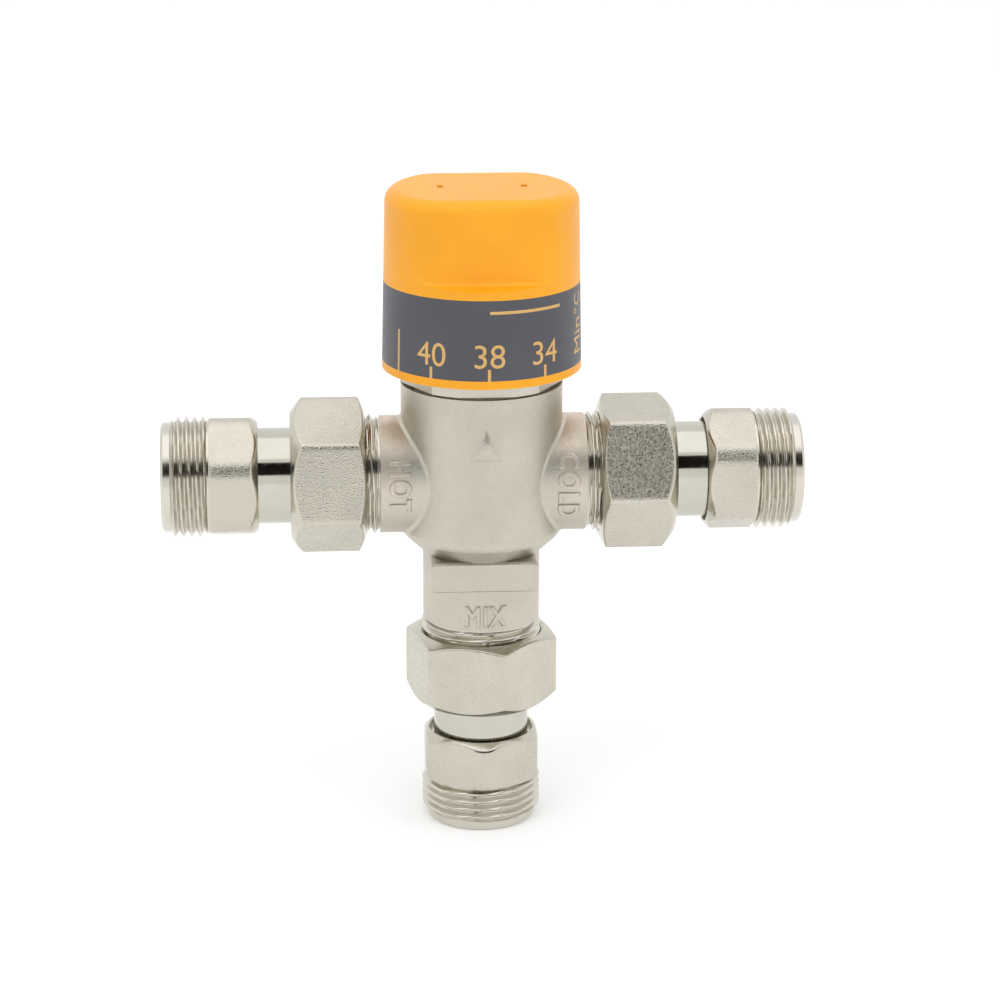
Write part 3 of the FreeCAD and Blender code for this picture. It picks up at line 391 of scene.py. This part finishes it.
def make_finishes():
    """Every finish of the valve by name."""
    finish = settings().finish
    return {
        # The body carries the painted warm reflection of the cap on its branch tops.
        "body": forged_nickel("forged_nickel_body", grain_mm=0.30, grain_depth=0.050,
                              rough=0.44, painted_cap_reflection=True),
        "nut": forged_nickel("forged_nickel_nut", grain_mm=0.27, grain_depth=0.072,
                             rough=0.25),
        "chamfer": forged_nickel("turned_nickel_chamfer", grain_mm=0.25, grain_depth=0.006,
                                 rough=0.17),
        "bonnet": forged_nickel("machined_nickel_bonnet", grain_mm=0.25, grain_depth=0.012,
                                rough=0.32),
        "bright_x": turned_nickel("bright_nickel_inlet", "X", tuple(finish.bright)),
        "bright_z": turned_nickel("bright_nickel_outlet", "Z", tuple(finish.bright)),
        "thread": turned_nickel("bright_nickel_thread", "X", tuple(finish.cut), rough=0.18,
                                lines=0.002),
        "brass": turned_metal("turned_brass", tuple(finish.brass), 0.28),
        "copper": turned_metal("drawn_copper", tuple(finish.copper), 0.30),
        "steel": turned_metal("stainless_steel", tuple(finish.steel), 0.26),
        "cap": moulding("orange_cap", tuple(finish.cap), 0.37, gloss=0.35),
        "band": moulding("scale_wrap", tuple(finish.band), 0.42, texture_mm=0.2,
                         depth=0.002, vary=0.06),
        "ink": moulding("scale_ink", tuple(finish.ink), 0.45, texture_mm=0.2,
                        depth=0.001, vary=0.05),
        "rubber": soft_seal("seal_rubber", tuple(finish.rubber), 0.55),
        "fibre": soft_seal("fibre_gasket", tuple(finish.fibre), 0.80),
        "plastic": moulding("cartridge_plastic", tuple(finish.plastic), 0.42, 0.3, 0.003),
    }


NODE_FINISH = {
    "valve_body": "body", "bonnet": "bonnet", "bonnet_o_ring": "rubber",
    "temperature_spindle": "brass", "spindle_o_ring_lower": "rubber",
    "spindle_o_ring_upper": "rubber", "spindle_circlip": "steel", "adjuster": "brass",
    "plunger_circlip": "steel", "overload_plunger": "brass", "overload_spring": "steel",
    "push_pin": "steel", "wax_element": "copper", "shuttle": "plastic",
    "shuttle_o_ring": "rubber", "return_spring": "steel", "control_cap": "cap",
    "scale_band": "band", "cap_plug": "cap", "cap_screw": "steel",
}
PORT_FINISH = {
    "union_nut": "nut", "gasket": "fibre", "tail": "bright_x", "tail_o_ring": "rubber",
    "adapter": "nut", "check_housing": "plastic", "check_poppet": "plastic",
    "check_spring": "steel", "strainer": "steel",
}


def finish_of(node):
    if node in NODE_FINISH:
        return NODE_FINISH[node]
    port, piece = node.split("_", 1)
    kind = PORT_FINISH[piece]
    return "bright_z" if (kind, port) == ("bright_x", "outlet") else kind


# --------------------------------------------------------------------- mesh helpers
def add_piece(name, mesh, body, finishes):
    """Links a mesh as a piece that rides on a body, with one or more finishes."""
    piece = bpy.data.objects.new(name, mesh)
    bpy.context.scene.collection.objects.link(piece)
    for finish in finishes:
        mesh.materials.append(bpy.data.materials[finish])
    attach(piece, body)
    return piece


def smooth(mesh, angle=35.0):
    for polygon in mesh.polygons:
        polygon.use_smooth = True
    mesh.set_sharp_from_angle(angle=math.radians(angle))


def skin_of_columns(name, columns, place):
    """Closed skin through one closed outline per column, all with as many points.

    An outline holds (height, radius) pairs in a port's own frame.
    """
    count, rows = len(columns), len(columns[0])
    points = []
    for i, outline in enumerate(columns):
        angle = 2 * math.pi * i / count
        c, s = math.cos(angle), math.sin(angle)
        points += [place @ Vector((r * c, r * s, u)) for u, r in outline]
    faces = []
    for i in range(count):
        j = (i + 1) % count
        for k in range(rows):
            m = (k + 1) % rows
            faces.append((i * rows + k, j * rows + k, j * rows + m, i * rows + m))
    mesh = bpy.data.meshes.new(name)
    mesh.from_pydata(points, [], faces)
    shell = bmesh.new()
    shell.from_mesh(mesh)
    bmesh.ops.recalc_face_normals(shell, faces=shell.faces)
    shell.to_mesh(mesh)
    shell.free()
    return mesh


def soft_min(a, b, k):
    """The smaller of two lengths, rounded over k where they meet."""
    h = max(k - abs(a - b), 0.0) / k
    return min(a, b) - h * h * k * 0.25


def steps(start, end, count):
    return [start + (end - start) * i / count for i in range(count + 1)]


def thread_radius(angle, u, extra=0.0):
    """Radius of a right-hand pipe thread: flat crests, straight flanks, flat roots."""
    thread = settings().thread
    phase = (u / thread.pitch - angle / (2 * math.pi)) % 1.0
    rise = abs(2 * phase - 1.0)
    fall = min(max((rise - CREST_SHARE) / FLANK_SHARE, 0.0), 1.0)
    eased = fall * fall * (3 - 2 * fall)
    fall = eased * FLANK_ROUNDING + fall * (1 - FLANK_ROUNDING)
    return thread.major + extra - thread.depth * fall


def hexagon_radius(angle, flats, clock, corner, k):
    sixth = math.pi / 3
    local = (angle - math.radians(clock)) % sixth - sixth / 2
    return soft_min(flats / 2 / math.cos(local), corner, k)


def hexagon_side(angle, heights, flats, corner, clock, cones, k):
    """Outer points of a turned hexagon; each cone is (height, radius there, slope)."""
    side = hexagon_radius(angle, flats, clock, corner, k)
    points = []
    for u in heights:
        r = side
        for at, radius, slope in cones:
            r = soft_min(r, radius + abs(u - at) * slope, k)
        points.append((u, r))
    return points


def fine_ends(start, end, near, far, counts):
    """Heights along a hexagon, close together at its chamfered ends.

    near and far are (length of the close steps, gap to the wide ones).
    """
    return (steps(start, start + near[0], counts[0])
            + steps(start + sum(near), end - sum(far), counts[1])
            + steps(end - far[0], end, counts[2]))


def thread_rows(start, end):
    thread = settings().thread
    return steps(start, end, max(2, round((end - start) / thread.pitch * thread.per_pitch)))


def port_blank(u, end):
    """Radius of a port's thread blank: plain, with a chamfer at the end."""
    thread = settings().thread
    return thread.major - max(0.0, u - (end - thread.chamfer))


def adapter_blank(u, end):
    """Radius of an adapter's thread blank: plain, then a turned-down lead."""
    thread = settings().thread
    lead_r = thread.major - thread.lead_depth
    shoulder = lead_r + max(0.0, end - thread.lead - u) * 2
    blank = min(thread.major, soft_min(shoulder, thread.major, 0.2), shoulder)
    return blank - max(0.0, u - end + thread.edge)


def male_thread(angle, start, end, blank):
    """Outer points of a male thread from its relief groove to the end of its blank."""
    thread = settings().thread
    floor = thread.major - GROOVE_DEPTH * thread.depth
    points = [(start, floor), (start + thread.relief * GROOVE_FLOOR, floor)]
    for u in thread_rows(start + thread.relief, end):
        ramp_in = floor + (u - start - thread.relief) * RAMP_SLOPE
        points.append((u, min(thread_radius(angle, u), ramp_in, blank(u, end))))
    return points


# ------------------------------------------------------------------------- operators
class VALVE_OT_finishes(bpy.types.Operator):
    """Makes every finish and gives each solid of the valve its own"""
    bl_idname = "valve.finishes"
    bl_label = "Finish the solids"

    def execute(self, context):
        made = make_finishes()
        for name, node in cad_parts.items():
            node.data.materials.clear()
            node.data.materials.append(made[finish_of(name)])
        return {"FINISHED"}


def turn_chamfers(mesh, port, node, near, far, index):
    """Gives the turned end chamfers of a hexagon their own finish."""
    back = port_frame(port).inverted()
    spin = back.to_3x3().normalized()
    start = along_port(node, port)[0]
    for polygon in mesh.polygons:
        at = back @ polygon.center
        ends = at.z < start + near or far[0] < at.z < far[1]
        outside = math.hypot(at.x, at.y) > CHAMFER_INSIDE
        if ends and outside and abs((spin @ polygon.normal).z) > CHAMFER_TILT:
            polygon.material_index = index


def nut_columns(port):
    union, thread = settings().unions, settings().thread
    start, end = along_port(port + "_union_nut", port)
    k = union.soft
    slope_in = (union.nut_corner - union.nut_face) / union.nut_chamfer_in
    slope_out = (union.nut_corner - union.nut_face) / union.nut_chamfer_out
    heights = fine_ends(start, end, (2.4, 0.6), (3.0, 0.6), (16, 6, 18))
    cones = [(start, union.nut_face, slope_in), (end, union.nut_face, slope_out)]
    hole = union.tail + union.tail_gap
    seat = end - union.nut_lip
    thread_r = thread.major + thread.fit
    rows = thread_rows(start + NUT_MOUTH, seat - NUT_THREAD_STOP)
    columns = []
    for i in range(thread.around):
        angle = 2 * math.pi * i / thread.around
        outer = hexagon_side(angle, heights, union.nut_flats, union.nut_corner,
                             HEX_CLOCK[port][0], cones, k)
        bore = [(end, hole + NUT_HOLE_CHAMFER), (end - NUT_HOLE_CHAMFER, hole),
                (seat, hole), (seat, thread_r), (seat - NUT_UNDERCUT, thread_r)]
        inner = [(u, thread_radius(angle, u, thread.fit)) for u in reversed(rows)]
        lead = [(start, thread_r + NUT_MOUTH)]
        columns.append(outer + bore + inner + lead)
    return columns


class VALVE_OT_union_nuts(bpy.types.Operator):
    """Forged union nuts with soft edges, turned corners and a real inner thread"""
    bl_idname = "valve.union_nuts"
    bl_label = "Union nuts"

    def execute(self, context):
        for port in PORTS:
            mesh = skin_of_columns("nut_skin", nut_columns(port), port_frame(port))
            smooth(mesh)
            nut = add_piece(port + "_forged_nut", mesh, port + "_nut",
                            ["forged_nickel_nut", "turned_nickel_chamfer"])
            end = along_port(port + "_union_nut", port)[1]
            turn_chamfers(mesh, port, port + "_union_nut", 2.6, (end - 3.4, end + 0.1), 1)
            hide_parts(port + "_union_nut")
        return {"FINISHED"}


def adapter_columns(port):
    union, thread = settings().unions, settings().thread
    start, end = along_port(port + "_adapter", port)
    hex_end = start + union.adapter_hex
    slope = (union.adapter_corner - union.adapter_face) / union.adapter_chamfer
    heights = fine_ends(start, hex_end, (1.9, 0.7), (0.35, 0.25), (14, 6, 4))
    cones = [(start, union.adapter_face, slope),
             (hex_end, union.adapter_corner - ADAPTER_BACK_CHAMFER, 1.0)]
    recess = union.tail + union.recess_gap
    columns = []
    for i in range(thread.around):
        angle = 2 * math.pi * i / thread.around
        outer = hexagon_side(angle, heights, union.adapter_flats, union.adapter_corner,
                             HEX_CLOCK[port][1], cones, union.soft)
        crests = male_thread(angle, hex_end, end, adapter_blank)
        bore = [(end, union.adapter_bore + BORE_CHAMFER),
                (end - BORE_CHAMFER, union.adapter_bore),
                (start + union.spigot_depth, union.adapter_bore),
                (start + union.spigot_depth, union.spigot),
                (start + union.recess_depth, union.spigot),
                (start + union.recess_depth, recess), (start + RECESS_CHAMFER, recess),
                (start, recess + RECESS_CHAMFER)]
        columns.append(outer + crests + bore)
    return columns


class VALVE_OT_adapters(bpy.types.Operator):
    """Hexagon adapters with a helical G 3/4 thread on their outer ends"""
    bl_idname = "valve.adapters"
    bl_label = "Adapters"

    def execute(self, context):
        for port in PORTS:
            mesh = skin_of_columns("adapter_skin", adapter_columns(port), port_frame(port))
            smooth(mesh)
            adapter = add_piece(port + "_threaded_adapter", mesh, port + "_connection",
                                ["forged_nickel_nut", "bright_nickel_thread",
                                 "turned_nickel_chamfer"])
            back = port_frame(port).inverted()
            hex_end = along_port(port + "_adapter", port)[0] + settings().unions.adapter_hex
            for polygon in mesh.polygons:
                at = back @ polygon.center
                if at.z > hex_end - 0.01 or math.hypot(at.x, at.y) < BORE_INSIDE:
                    polygon.material_index = 1
            turn_chamfers(mesh, port, port + "_adapter", 2.2, (hex_end - 0.5, hex_end), 2)
            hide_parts(port + "_adapter")
        return {"FINISHED"}


def swap_port_thread(shell, port, start, end):
    """Takes a port's plain thread blank off a body skin and sets a real thread there."""
    thread = settings().thread
    place = port_frame(port)
    back = place.inverted()
    inside = thread.major - thread.chamfer - TOUCH

    def polar(vert):
        p = back @ vert.co
        return p.z, math.hypot(p.x, p.y)

    doomed = []
    for face in shell.faces:
        at = [polar(v) for v in face.verts]
        blank = all(u > start - 0.01 and r > inside for u, r in at)
        if blank and not all(u > end - 0.01 for u, r in at):
            doomed.append(face)
    bmesh.ops.delete(shell, geom=doomed, context="FACES")
    loose = [e for e in shell.edges if not e.link_faces]
    bmesh.ops.delete(shell, geom=loose, context="EDGES")
    rims = [e for e in shell.edges if e.is_boundary and polar(e.verts[0])[0] > start - TOUCH]
    near = [e for e in rims if polar(e.verts[0])[0] < (start + end) / 2]
    far = [e for e in rims if polar(e.verts[0])[0] >= (start + end) / 2]
    rings = []
    for i in range(thread.around):
        angle = 2 * math.pi * i / thread.around
        column = male_thread(angle, start, end - 2 * TOUCH, port_blank)
        c, s = math.cos(angle), math.sin(angle)
        rings.append([shell.verts.new(place @ Vector((r * c, r * s, u))) for u, r in column])
    for i in range(thread.around):
        one, two = rings[i], rings[(i + 1) % thread.around]
        for k in range(len(one) - 1):
            face = shell.faces.new((one[k], two[k], two[k + 1], one[k + 1]))
            face.material_index = 1
    shell.edges.index_update()
    first, last = [], []
    for i in range(thread.around):
        one, two = rings[i], rings[(i + 1) % thread.around]
        first.append(shell.edges.get((one[0], two[0])))
        last.append(shell.edges.get((one[-1], two[-1])))
    for pair in (near + first, far + last):
        made = bmesh.ops.bridge_loops(shell, edges=pair)
        for face in made["faces"]:
            face.material_index = 1


def soften_mark(shell):
    """Slopes the walls of the raised index triangle, as a forging die leaves them."""
    marks = settings().marks
    low, high, proud_r = marks.mark_low, marks.mark_high, marks.mark_proud
    forged = shell.loops.layers.float_vector["forged_normal"]
    centre = (low * 2 + high) / 3
    top, foot = set(), set()
    for face in shell.faces:
        at = [(v.co - CROSSING) / MM for v in face.verts]
        near = all(a.y < 0 and abs(a.x) < MARK_HALF and low - 0.05 < a.z < high + 0.05
                   for a in at)
        if not near or max(math.hypot(a.x, a.y) for a in at) < proud_r - TOUCH:
            continue
        for loop in face.loops:
            loop[forged] = (0, 0, 0)
        for vert, a in zip(face.verts, at):
            (top if math.hypot(a.x, a.y) > proud_r - TOUCH else foot).add(vert)
    for verts, grow, radius in ((top, MARK_TOP, proud_r + marks.mark_raise),
                                (foot, MARK_FOOT, None)):
        for vert in verts:
            a = (vert.co - CROSSING) / MM
            radius_here = radius or math.hypot(a.x, a.y)
            x, z = a.x * grow, centre + (a.z - centre) * grow
            y = -math.sqrt(radius_here ** 2 - x * x)
            vert.co = CROSSING + Vector((x, y, z)) * MM


def keep_forged_normals(mesh):
    """Gives the corners that came from the solid their own normals back."""
    kept = mesh.attributes["forged_normal"]
    normals = []
    for old, new in zip(kept.data, mesh.corner_normals):
        old_vector = Vector(old.vector)
        normals.append(old_vector if old_vector.length > 0.5 else new.vector.copy())
    mesh.normals_split_custom_set(normals)
    mesh.attributes.remove(kept)


class VALVE_OT_body(bpy.types.Operator):
    """Body forging with real threads on its three ports"""
    bl_idname = "valve.body"
    bl_label = "Body"

    def execute(self, context):
        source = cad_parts["valve_body"].data
        shell = bmesh.new()
        shell.from_mesh(source)
        forged = shell.loops.layers.float_vector.new("forged_normal")
        normals = [n.vector.copy() for n in source.corner_normals]
        for face, polygon in zip(shell.faces, source.polygons):
            for loop, corner in zip(face.loops, polygon.loop_indices):
                loop[forged] = normals[corner]
        bmesh.ops.remove_doubles(shell, verts=shell.verts, dist=0.002 * MM)
        for face in shell.faces:
            face.material_index = 0
        soften_mark(shell)
        for port in PORTS:
            reach = along_port(port + "_gasket", port)[0]
            swap_port_thread(shell, port, reach - PORT_THREAD, reach)
        bmesh.ops.recalc_face_normals(shell, faces=shell.faces)
        mesh = bpy.data.meshes.new("body_skin")
        shell.to_mesh(mesh)
        shell.free()
        smooth(mesh, 28.0)
        keep_forged_normals(mesh)
        body = add_piece("threaded_body", mesh, "valve",
                         ["forged_nickel_body", "bright_nickel_thread"])
        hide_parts("valve_body")
        return {"FINISHED"}


# ------------------------------------------------------------------ words and scale
def text_holder(words, spacing=1.0):
    """A text object of size 1, linked so that it can be measured."""
    curve = bpy.data.curves.new("words", "FONT")
    curve.body = words
    curve.align_x = "CENTER"
    curve.space_character = spacing
    curve.resolution_u = 6
    holder = bpy.data.objects.new("words", curve)
    bpy.context.scene.collection.objects.link(holder)
    bpy.context.view_layer.update()
    return holder


def flat_text(words, height, squeeze=1.0, thick=0.0, edge=0.0, spacing=1.0, bolder=0.0):
    """Text as a mesh in millimetres, centred, with capitals of that height."""
    holder, ruler = text_holder(words, spacing), text_holder("H")
    curve = holder.data
    scale = height / max(corner[1] for corner in ruler.bound_box)
    curve.extrude = thick / 2 / scale
    curve.bevel_depth = edge / scale
    curve.offset = bolder / scale
    curve.bevel_resolution = 2
    bpy.context.view_layer.update()
    graph = bpy.context.evaluated_depsgraph_get()
    mesh = bpy.data.meshes.new_from_object(holder.evaluated_get(graph))
    for holder_object in (holder, ruler):
        data = holder_object.data
        bpy.data.objects.remove(holder_object)
        bpy.data.curves.remove(data)
    shell = bmesh.new()
    shell.from_mesh(mesh)
    bmesh.ops.remove_doubles(shell, verts=shell.verts, dist=1e-5)
    for vert in shell.verts:
        vert.co = Vector((vert.co.x * scale * squeeze, vert.co.y * scale,
                          vert.co.z * scale))
    return shell, mesh


def to_mesh(shell, mesh):
    bmesh.ops.recalc_face_normals(shell, faces=shell.faces)
    shell.to_mesh(mesh)
    shell.free()
    mesh.materials.clear()
    return mesh


def cast_word(name, words, place, turn, squeeze):
    """Low cast lettering wrapped on a round branch; the letters' edges are soft."""
    marks = settings().marks
    shell, mesh = flat_text(words, marks.height, squeeze, marks.flat, marks.edge, 1.2,
                            -marks.thinner)
    for vert in shell.verts:
        x, y, z = vert.co
        if turn:
            x, y = y, -x
        vert.co = place(x, y, marks.branch + z)
    mesh = to_mesh(shell, mesh)
    smooth(mesh, 50.0)
    return add_piece(name, mesh, "valve", ["forged_nickel_body"])


class VALVE_OT_port_words(bpy.types.Operator):
    """Cast HOT, COLD and MIX beside their ports"""
    bl_idname = "valve.port_words"
    bl_label = "Port words"

    def execute(self, context):
        branch = settings().marks.branch

        def on_branch(centre, tilt):
            def place(x, y, r):
                angle = math.radians(tilt) + y / branch
                return CROSSING + Vector((centre + x, -r * math.cos(angle),
                                          r * math.sin(angle))) * MM
            return place

        def on_neck(x, y, r):
            angle = x / branch
            return CROSSING + Vector((r * math.sin(angle), -r * math.cos(angle),
                                      -31.4 + y)) * MM

        cast_word("word_hot", "HOT", on_branch(-20.4, 2.7), True, 0.8)
        cast_word("word_cold", "COLD", on_branch(16.2, 0.0), True, 0.8)
        cast_word("word_mix", "MIX", on_neck, False, 0.76)
        return {"FINISHED"}


def band_place(angle, height, lift):
    """A point on the scale band: degrees from the front, mm above its lower edge."""
    share = height * MM / (BAND_TOP - BAND_FOOT)
    r = BAND_RADIUS + (settings().scale.top_radius - BAND_RADIUS) * share + lift
    a = math.radians(angle)
    return Vector((r * math.sin(a) * MM, -r * math.cos(a) * MM, BAND_FOOT + height * MM))


def slice_flat(shell, axis, step):
    """Cuts a flat mesh into strips across an axis, so that it bends smoothly."""
    places = [v.co[axis] for v in shell.verts]
    normal = Vector((0, 0, 0))
    normal[axis] = 1.0
    at = min(places) + step
    while at < max(places):
        everything = shell.verts[:] + shell.edges[:] + shell.faces[:]
        bmesh.ops.bisect_plane(shell, geom=everything, dist=1e-5, plane_co=normal * at,
                               plane_no=normal)
        at += step


def print_text(words, angle, foot, height, upright, squeeze, bolder):
    scale = settings().scale
    shell, mesh = flat_text(words, height, squeeze, bolder=bolder)
    slice_flat(shell, 1 if upright else 0, 0.45)
    made = bmesh.ops.extrude_face_region(shell, geom=shell.faces[:])
    lifted = {v for v in made["geom"] if isinstance(v, bmesh.types.BMVert)}
    per_mm = math.degrees(1 / BAND_RADIUS)
    for vert in shell.verts:
        x, y = vert.co.x, vert.co.y
        if upright:
            x, y = height / 2 - y, x
        lift = scale.skin if vert in lifted else -scale.skin
        vert.co = band_place(angle + x * per_mm, foot + y, lift)
    return to_mesh(shell, mesh)


def print_bar(angle_from, angle_to, foot, top, columns):
    scale = settings().scale
    shell = bmesh.new()
    rows = []
    for i in range(columns + 1):
        a = angle_from + (angle_to - angle_from) * i / columns
        rows.append([shell.verts.new(band_place(a, h, lift))
                     for h, lift in ((foot, -scale.skin), (foot, scale.skin), (top, scale.skin),
                                     (top, -scale.skin))])
    for one, two in zip(rows, rows[1:]):
        for k in range(4):
            m = (k + 1) % 4
            shell.faces.new((one[k], two[k], two[m], one[m]))
    shell.faces.new(rows[0])
    shell.faces.new(rows[-1])
    return to_mesh(shell, bpy.data.meshes.new("bar"))


# The band's print, in degrees to the right of the front and mm above the band's foot.
NUMBERS_AT = (("34", 35.0), ("38", 0.7), ("40", -33.5))
LONG_TICK_AT = -58.8
WORD_AT, WORD_FOOT, WORD_TALL = 68.6, 6.4, 4.0
UNIT_FOOT, UNIT_TALL = 13.6, 3.4
RULE_FROM, RULE_TO, RULE_FOOT = 1.0, 47.0, 14.45


class VALVE_OT_scale_print(bpy.types.Operator):
    """Numbers, ticks and lines printed on the scale band"""
    bl_idname = "valve.scale_print"
    bl_label = "Scale print"

    def execute(self, context):
        scale = settings().scale
        half = math.degrees(scale.stroke / 2 / BAND_RADIUS)
        ink = ["scale_ink"]
        for number, angle in NUMBERS_AT:
            mesh = print_text(number, angle, scale.digit_foot, scale.digit, False, 1.0,
                              scale.bolder)
            add_piece("scale_%s" % number, mesh, "cap", ink)
            mesh = print_bar(angle - half, angle + half, 0.0, scale.tick, 2)
            add_piece("tick_%s" % number, mesh, "cap", ink)
        mesh = print_bar(LONG_TICK_AT - half, LONG_TICK_AT + half, 0.0, scale.long_tick, 2)
        add_piece("tick_long", mesh, "cap", ink)
        mesh = print_text("Min", WORD_AT, WORD_FOOT, WORD_TALL, True, 0.95, scale.bolder)
        add_piece("scale_min", mesh, "cap", ink)
        mesh = print_text("°C", WORD_AT, UNIT_FOOT, UNIT_TALL, True, 0.9, scale.bolder)
        add_piece("scale_unit", mesh, "cap", ink)
        mesh = print_bar(RULE_FROM, RULE_TO, RULE_FOOT, RULE_FOOT + scale.stroke, 24)
        add_piece("scale_rule", mesh, "cap", ink)
        return {"FINISHED"}


# ----------------------------------------------------------------------------- stage
def plain_material(name, tint, glow=0.0):
    """Matt studio surface; the glow is only for what sees it directly or in gloss."""
    material = bpy.data.materials.new(name)
    material.use_nodes = True
    tree = material.node_tree
    tree.nodes.clear()
    out = tree.nodes.new("ShaderNodeOutputMaterial")
    matt = tree.nodes.new("ShaderNodeBsdfDiffuse")
    matt.inputs["Color"].default_value = (*tint, 1.0)
    if not glow:
        tree.links.new(matt.outputs[0], out.inputs["Surface"])
        return material
    light = tree.nodes.new("ShaderNodeEmission")
    tree.links.new(seen_directly(tree, glow), light.inputs["Strength"])
    both = tree.nodes.new("ShaderNodeAddShader")
    tree.links.new(matt.outputs[0], both.inputs[0])
    tree.links.new(light.outputs[0], both.inputs[1])
    tree.links.new(both.outputs[0], out.inputs["Surface"])
    return material


def seen_directly(tree, strength):
    """Strength for camera, glossy and transmission rays, and nothing for the rest."""
    path = tree.nodes.new("ShaderNodeLightPath")
    total = path.outputs["Is Camera Ray"]
    for name in ("Is Glossy Ray", "Is Transmission Ray"):
        node = tree.nodes.new("ShaderNodeMath")
        node.operation = "MAXIMUM"
        tree.links.new(total, node.inputs[0])
        tree.links.new(path.outputs[name], node.inputs[1])
        total = node.outputs[0]
    node = tree.nodes.new("ShaderNodeMath")
    node.operation = "MULTIPLY"
    tree.links.new(total, node.inputs[0])
    node.inputs[1].default_value = strength
    return node.outputs[0]


def add_card(name, width, height, centre, look_at, material):
    """A flat studio card facing a point."""
    w, h = width / 2, height / 2
    mesh = bpy.data.meshes.new(name)
    mesh.from_pydata([(-w, -h, 0), (w, -h, 0), (w, h, 0), (-w, h, 0)], [], [(0, 1, 2, 3)])
    card = bpy.data.objects.new(name, mesh)
    bpy.context.scene.collection.objects.link(card)
    mesh.materials.append(material)
    aim = (Vector(look_at) - Vector(centre)).to_track_quat("Z", "Y")
    card.matrix_world = Matrix.Translation(centre) @ aim.to_matrix().to_4x4()
    return card


def add_softbox(name, centre, look_at, size, power, mirrored=True):
    lamp = bpy.data.lights.new(name, "AREA")
    lamp.shape = "RECTANGLE"
    lamp.size, lamp.size_y = size
    lamp.energy = power
    box = bpy.data.objects.new(name, lamp)
    box.visible_glossy = mirrored
    bpy.context.scene.collection.objects.link(box)
    aim = (Vector(look_at) - Vector(centre)).to_track_quat("-Z", "Y")
    box.matrix_world = Matrix.Translation(centre) @ aim.to_matrix().to_4x4()
    return box


def add_camera():
    """Long lens in front, a little to the hot side and above."""
    place = Vector((-0.04472, -0.68143, 0.2045 + AXIS_Z))
    yaw, pitch, roll = (math.radians(a) for a in (4.102, 17.165, 0.227))
    forward = Vector((math.sin(yaw) * math.cos(pitch), math.cos(yaw) * math.cos(pitch),
                      -math.sin(pitch)))
    right = forward.cross(Vector((0, 0, 1))).normalized()
    up = right.cross(forward)
    r2 = right * math.cos(roll) + up * math.sin(roll)
    u2 = up * math.cos(roll) - right * math.sin(roll)
    lens = bpy.data.cameras.new("camera")
    lens.sensor_width = 36.0
    lens.lens = 116.53
    camera = bpy.data.objects.new("camera", lens)
    bpy.context.scene.collection.objects.link(camera)
    turn = Matrix((r2, u2, -forward)).transposed().to_4x4()
    camera.matrix_world = Matrix.Translation(place) @ turn
    bpy.context.scene.camera = camera


class VALVE_OT_stage(bpy.types.Operator):
    """Pale floor, white surroundings, soft boxes, a dark flag and the camera"""
    bl_idname = "valve.stage"
    bl_label = "Studio"

    def execute(self, context):
        scene = context.scene
        scene.view_settings.view_transform = "Standard"
        add_camera()
        add_card("studio_floor", 6.0, 6.0, (0, 0, 0), (0, 0, 1),
                 plain_material("floor_paper", (0.82, 0.82, 0.82), 0.22))
        flag = add_card("studio_flag", 1.3, 0.52, (0.06, -0.80, 0.585), (0, 0, AXIS_Z),
                        plain_material("flag_cloth", (0.012, 0.010, 0.010)))
        flag.visible_camera = False
        flag.visible_diffuse = False
        above = (0, 0, AXIS_Z)
        add_softbox("top_softbox", (-0.25, -0.10, 1.5), (-0.25, -0.10, 0), (2.0, 1.7), 4.6)
        add_softbox("fill_softbox", (-0.35, -0.90, 1.35), above, (1.2, 0.9), 6.5, False)
        add_softbox("side_softbox", (1.2, -0.6, 0.6), above, (0.7, 0.9), 3.0, False)
        world = bpy.data.worlds.new("studio")
        scene.world = world
        world.use_nodes = True
        tree = world.node_tree
        tree.nodes.clear()
        out = tree.nodes.new("ShaderNodeOutputWorld")
        sky = tree.nodes.new("ShaderNodeBackground")
        sky.inputs["Color"].default_value = (1, 1, 1, 1)
        extra = seen_directly(tree, 0.16)
        total = tree.nodes.new("ShaderNodeMath")
        total.operation = "ADD"
        total.inputs[1].default_value = 0.84
        tree.links.new(extra, total.inputs[0])
        tree.links.new(total.outputs[0], sky.inputs["Strength"])
        tree.links.new(sky.outputs[0], out.inputs["Surface"])
        return {"FINISHED"}


class VALVE_PT_panel(bpy.types.Panel):
    """Lists the steps that dress the valve"""
    bl_idname = "VALVE_PT_panel"
    bl_label = "Mixing valve"
    bl_space_type = "VIEW_3D"
    bl_region_type = "UI"
    bl_category = "Mixing valve"

    def draw(self, context):
        for group in ("thread", "unions", "scale", "marks", "finish"):
            values = getattr(context.scene.mixing_valve, group)
            box = self.layout.box()
            for name in values.bl_rna.properties.keys():
                if name not in ("rna_type", "name"):
                    box.prop(values, name)
        for step in STEPS:
            self.layout.operator(step.bl_idname)


STEPS = (VALVE_OT_finishes, VALVE_OT_union_nuts, VALVE_OT_adapters, VALVE_OT_body,
         VALVE_OT_port_words, VALVE_OT_scale_print, VALVE_OT_stage)
CLASSES = (PipeThread, UnionHexagons, ScalePrint, CastMarks, Finishes, ValveSettings, *STEPS,
           VALVE_PT_panel)


def register():
    for cls in CLASSES:
        bpy.utils.register_class(cls)
    bpy.types.Scene.mixing_valve = PointerProperty(type=ValveSettings)


def unregister():
    del bpy.types.Scene.mixing_valve
    for cls in reversed(CLASSES):
        bpy.utils.unregister_class(cls)


def main():
    register()
    bpy.ops.valve.finishes()
    bpy.ops.valve.union_nuts()
    bpy.ops.valve.adapters()
    bpy.ops.valve.body()
    bpy.ops.valve.port_words()
    bpy.ops.valve.scale_print()
    bpy.ops.valve.stage()


if __name__ == "__main__":
    main()
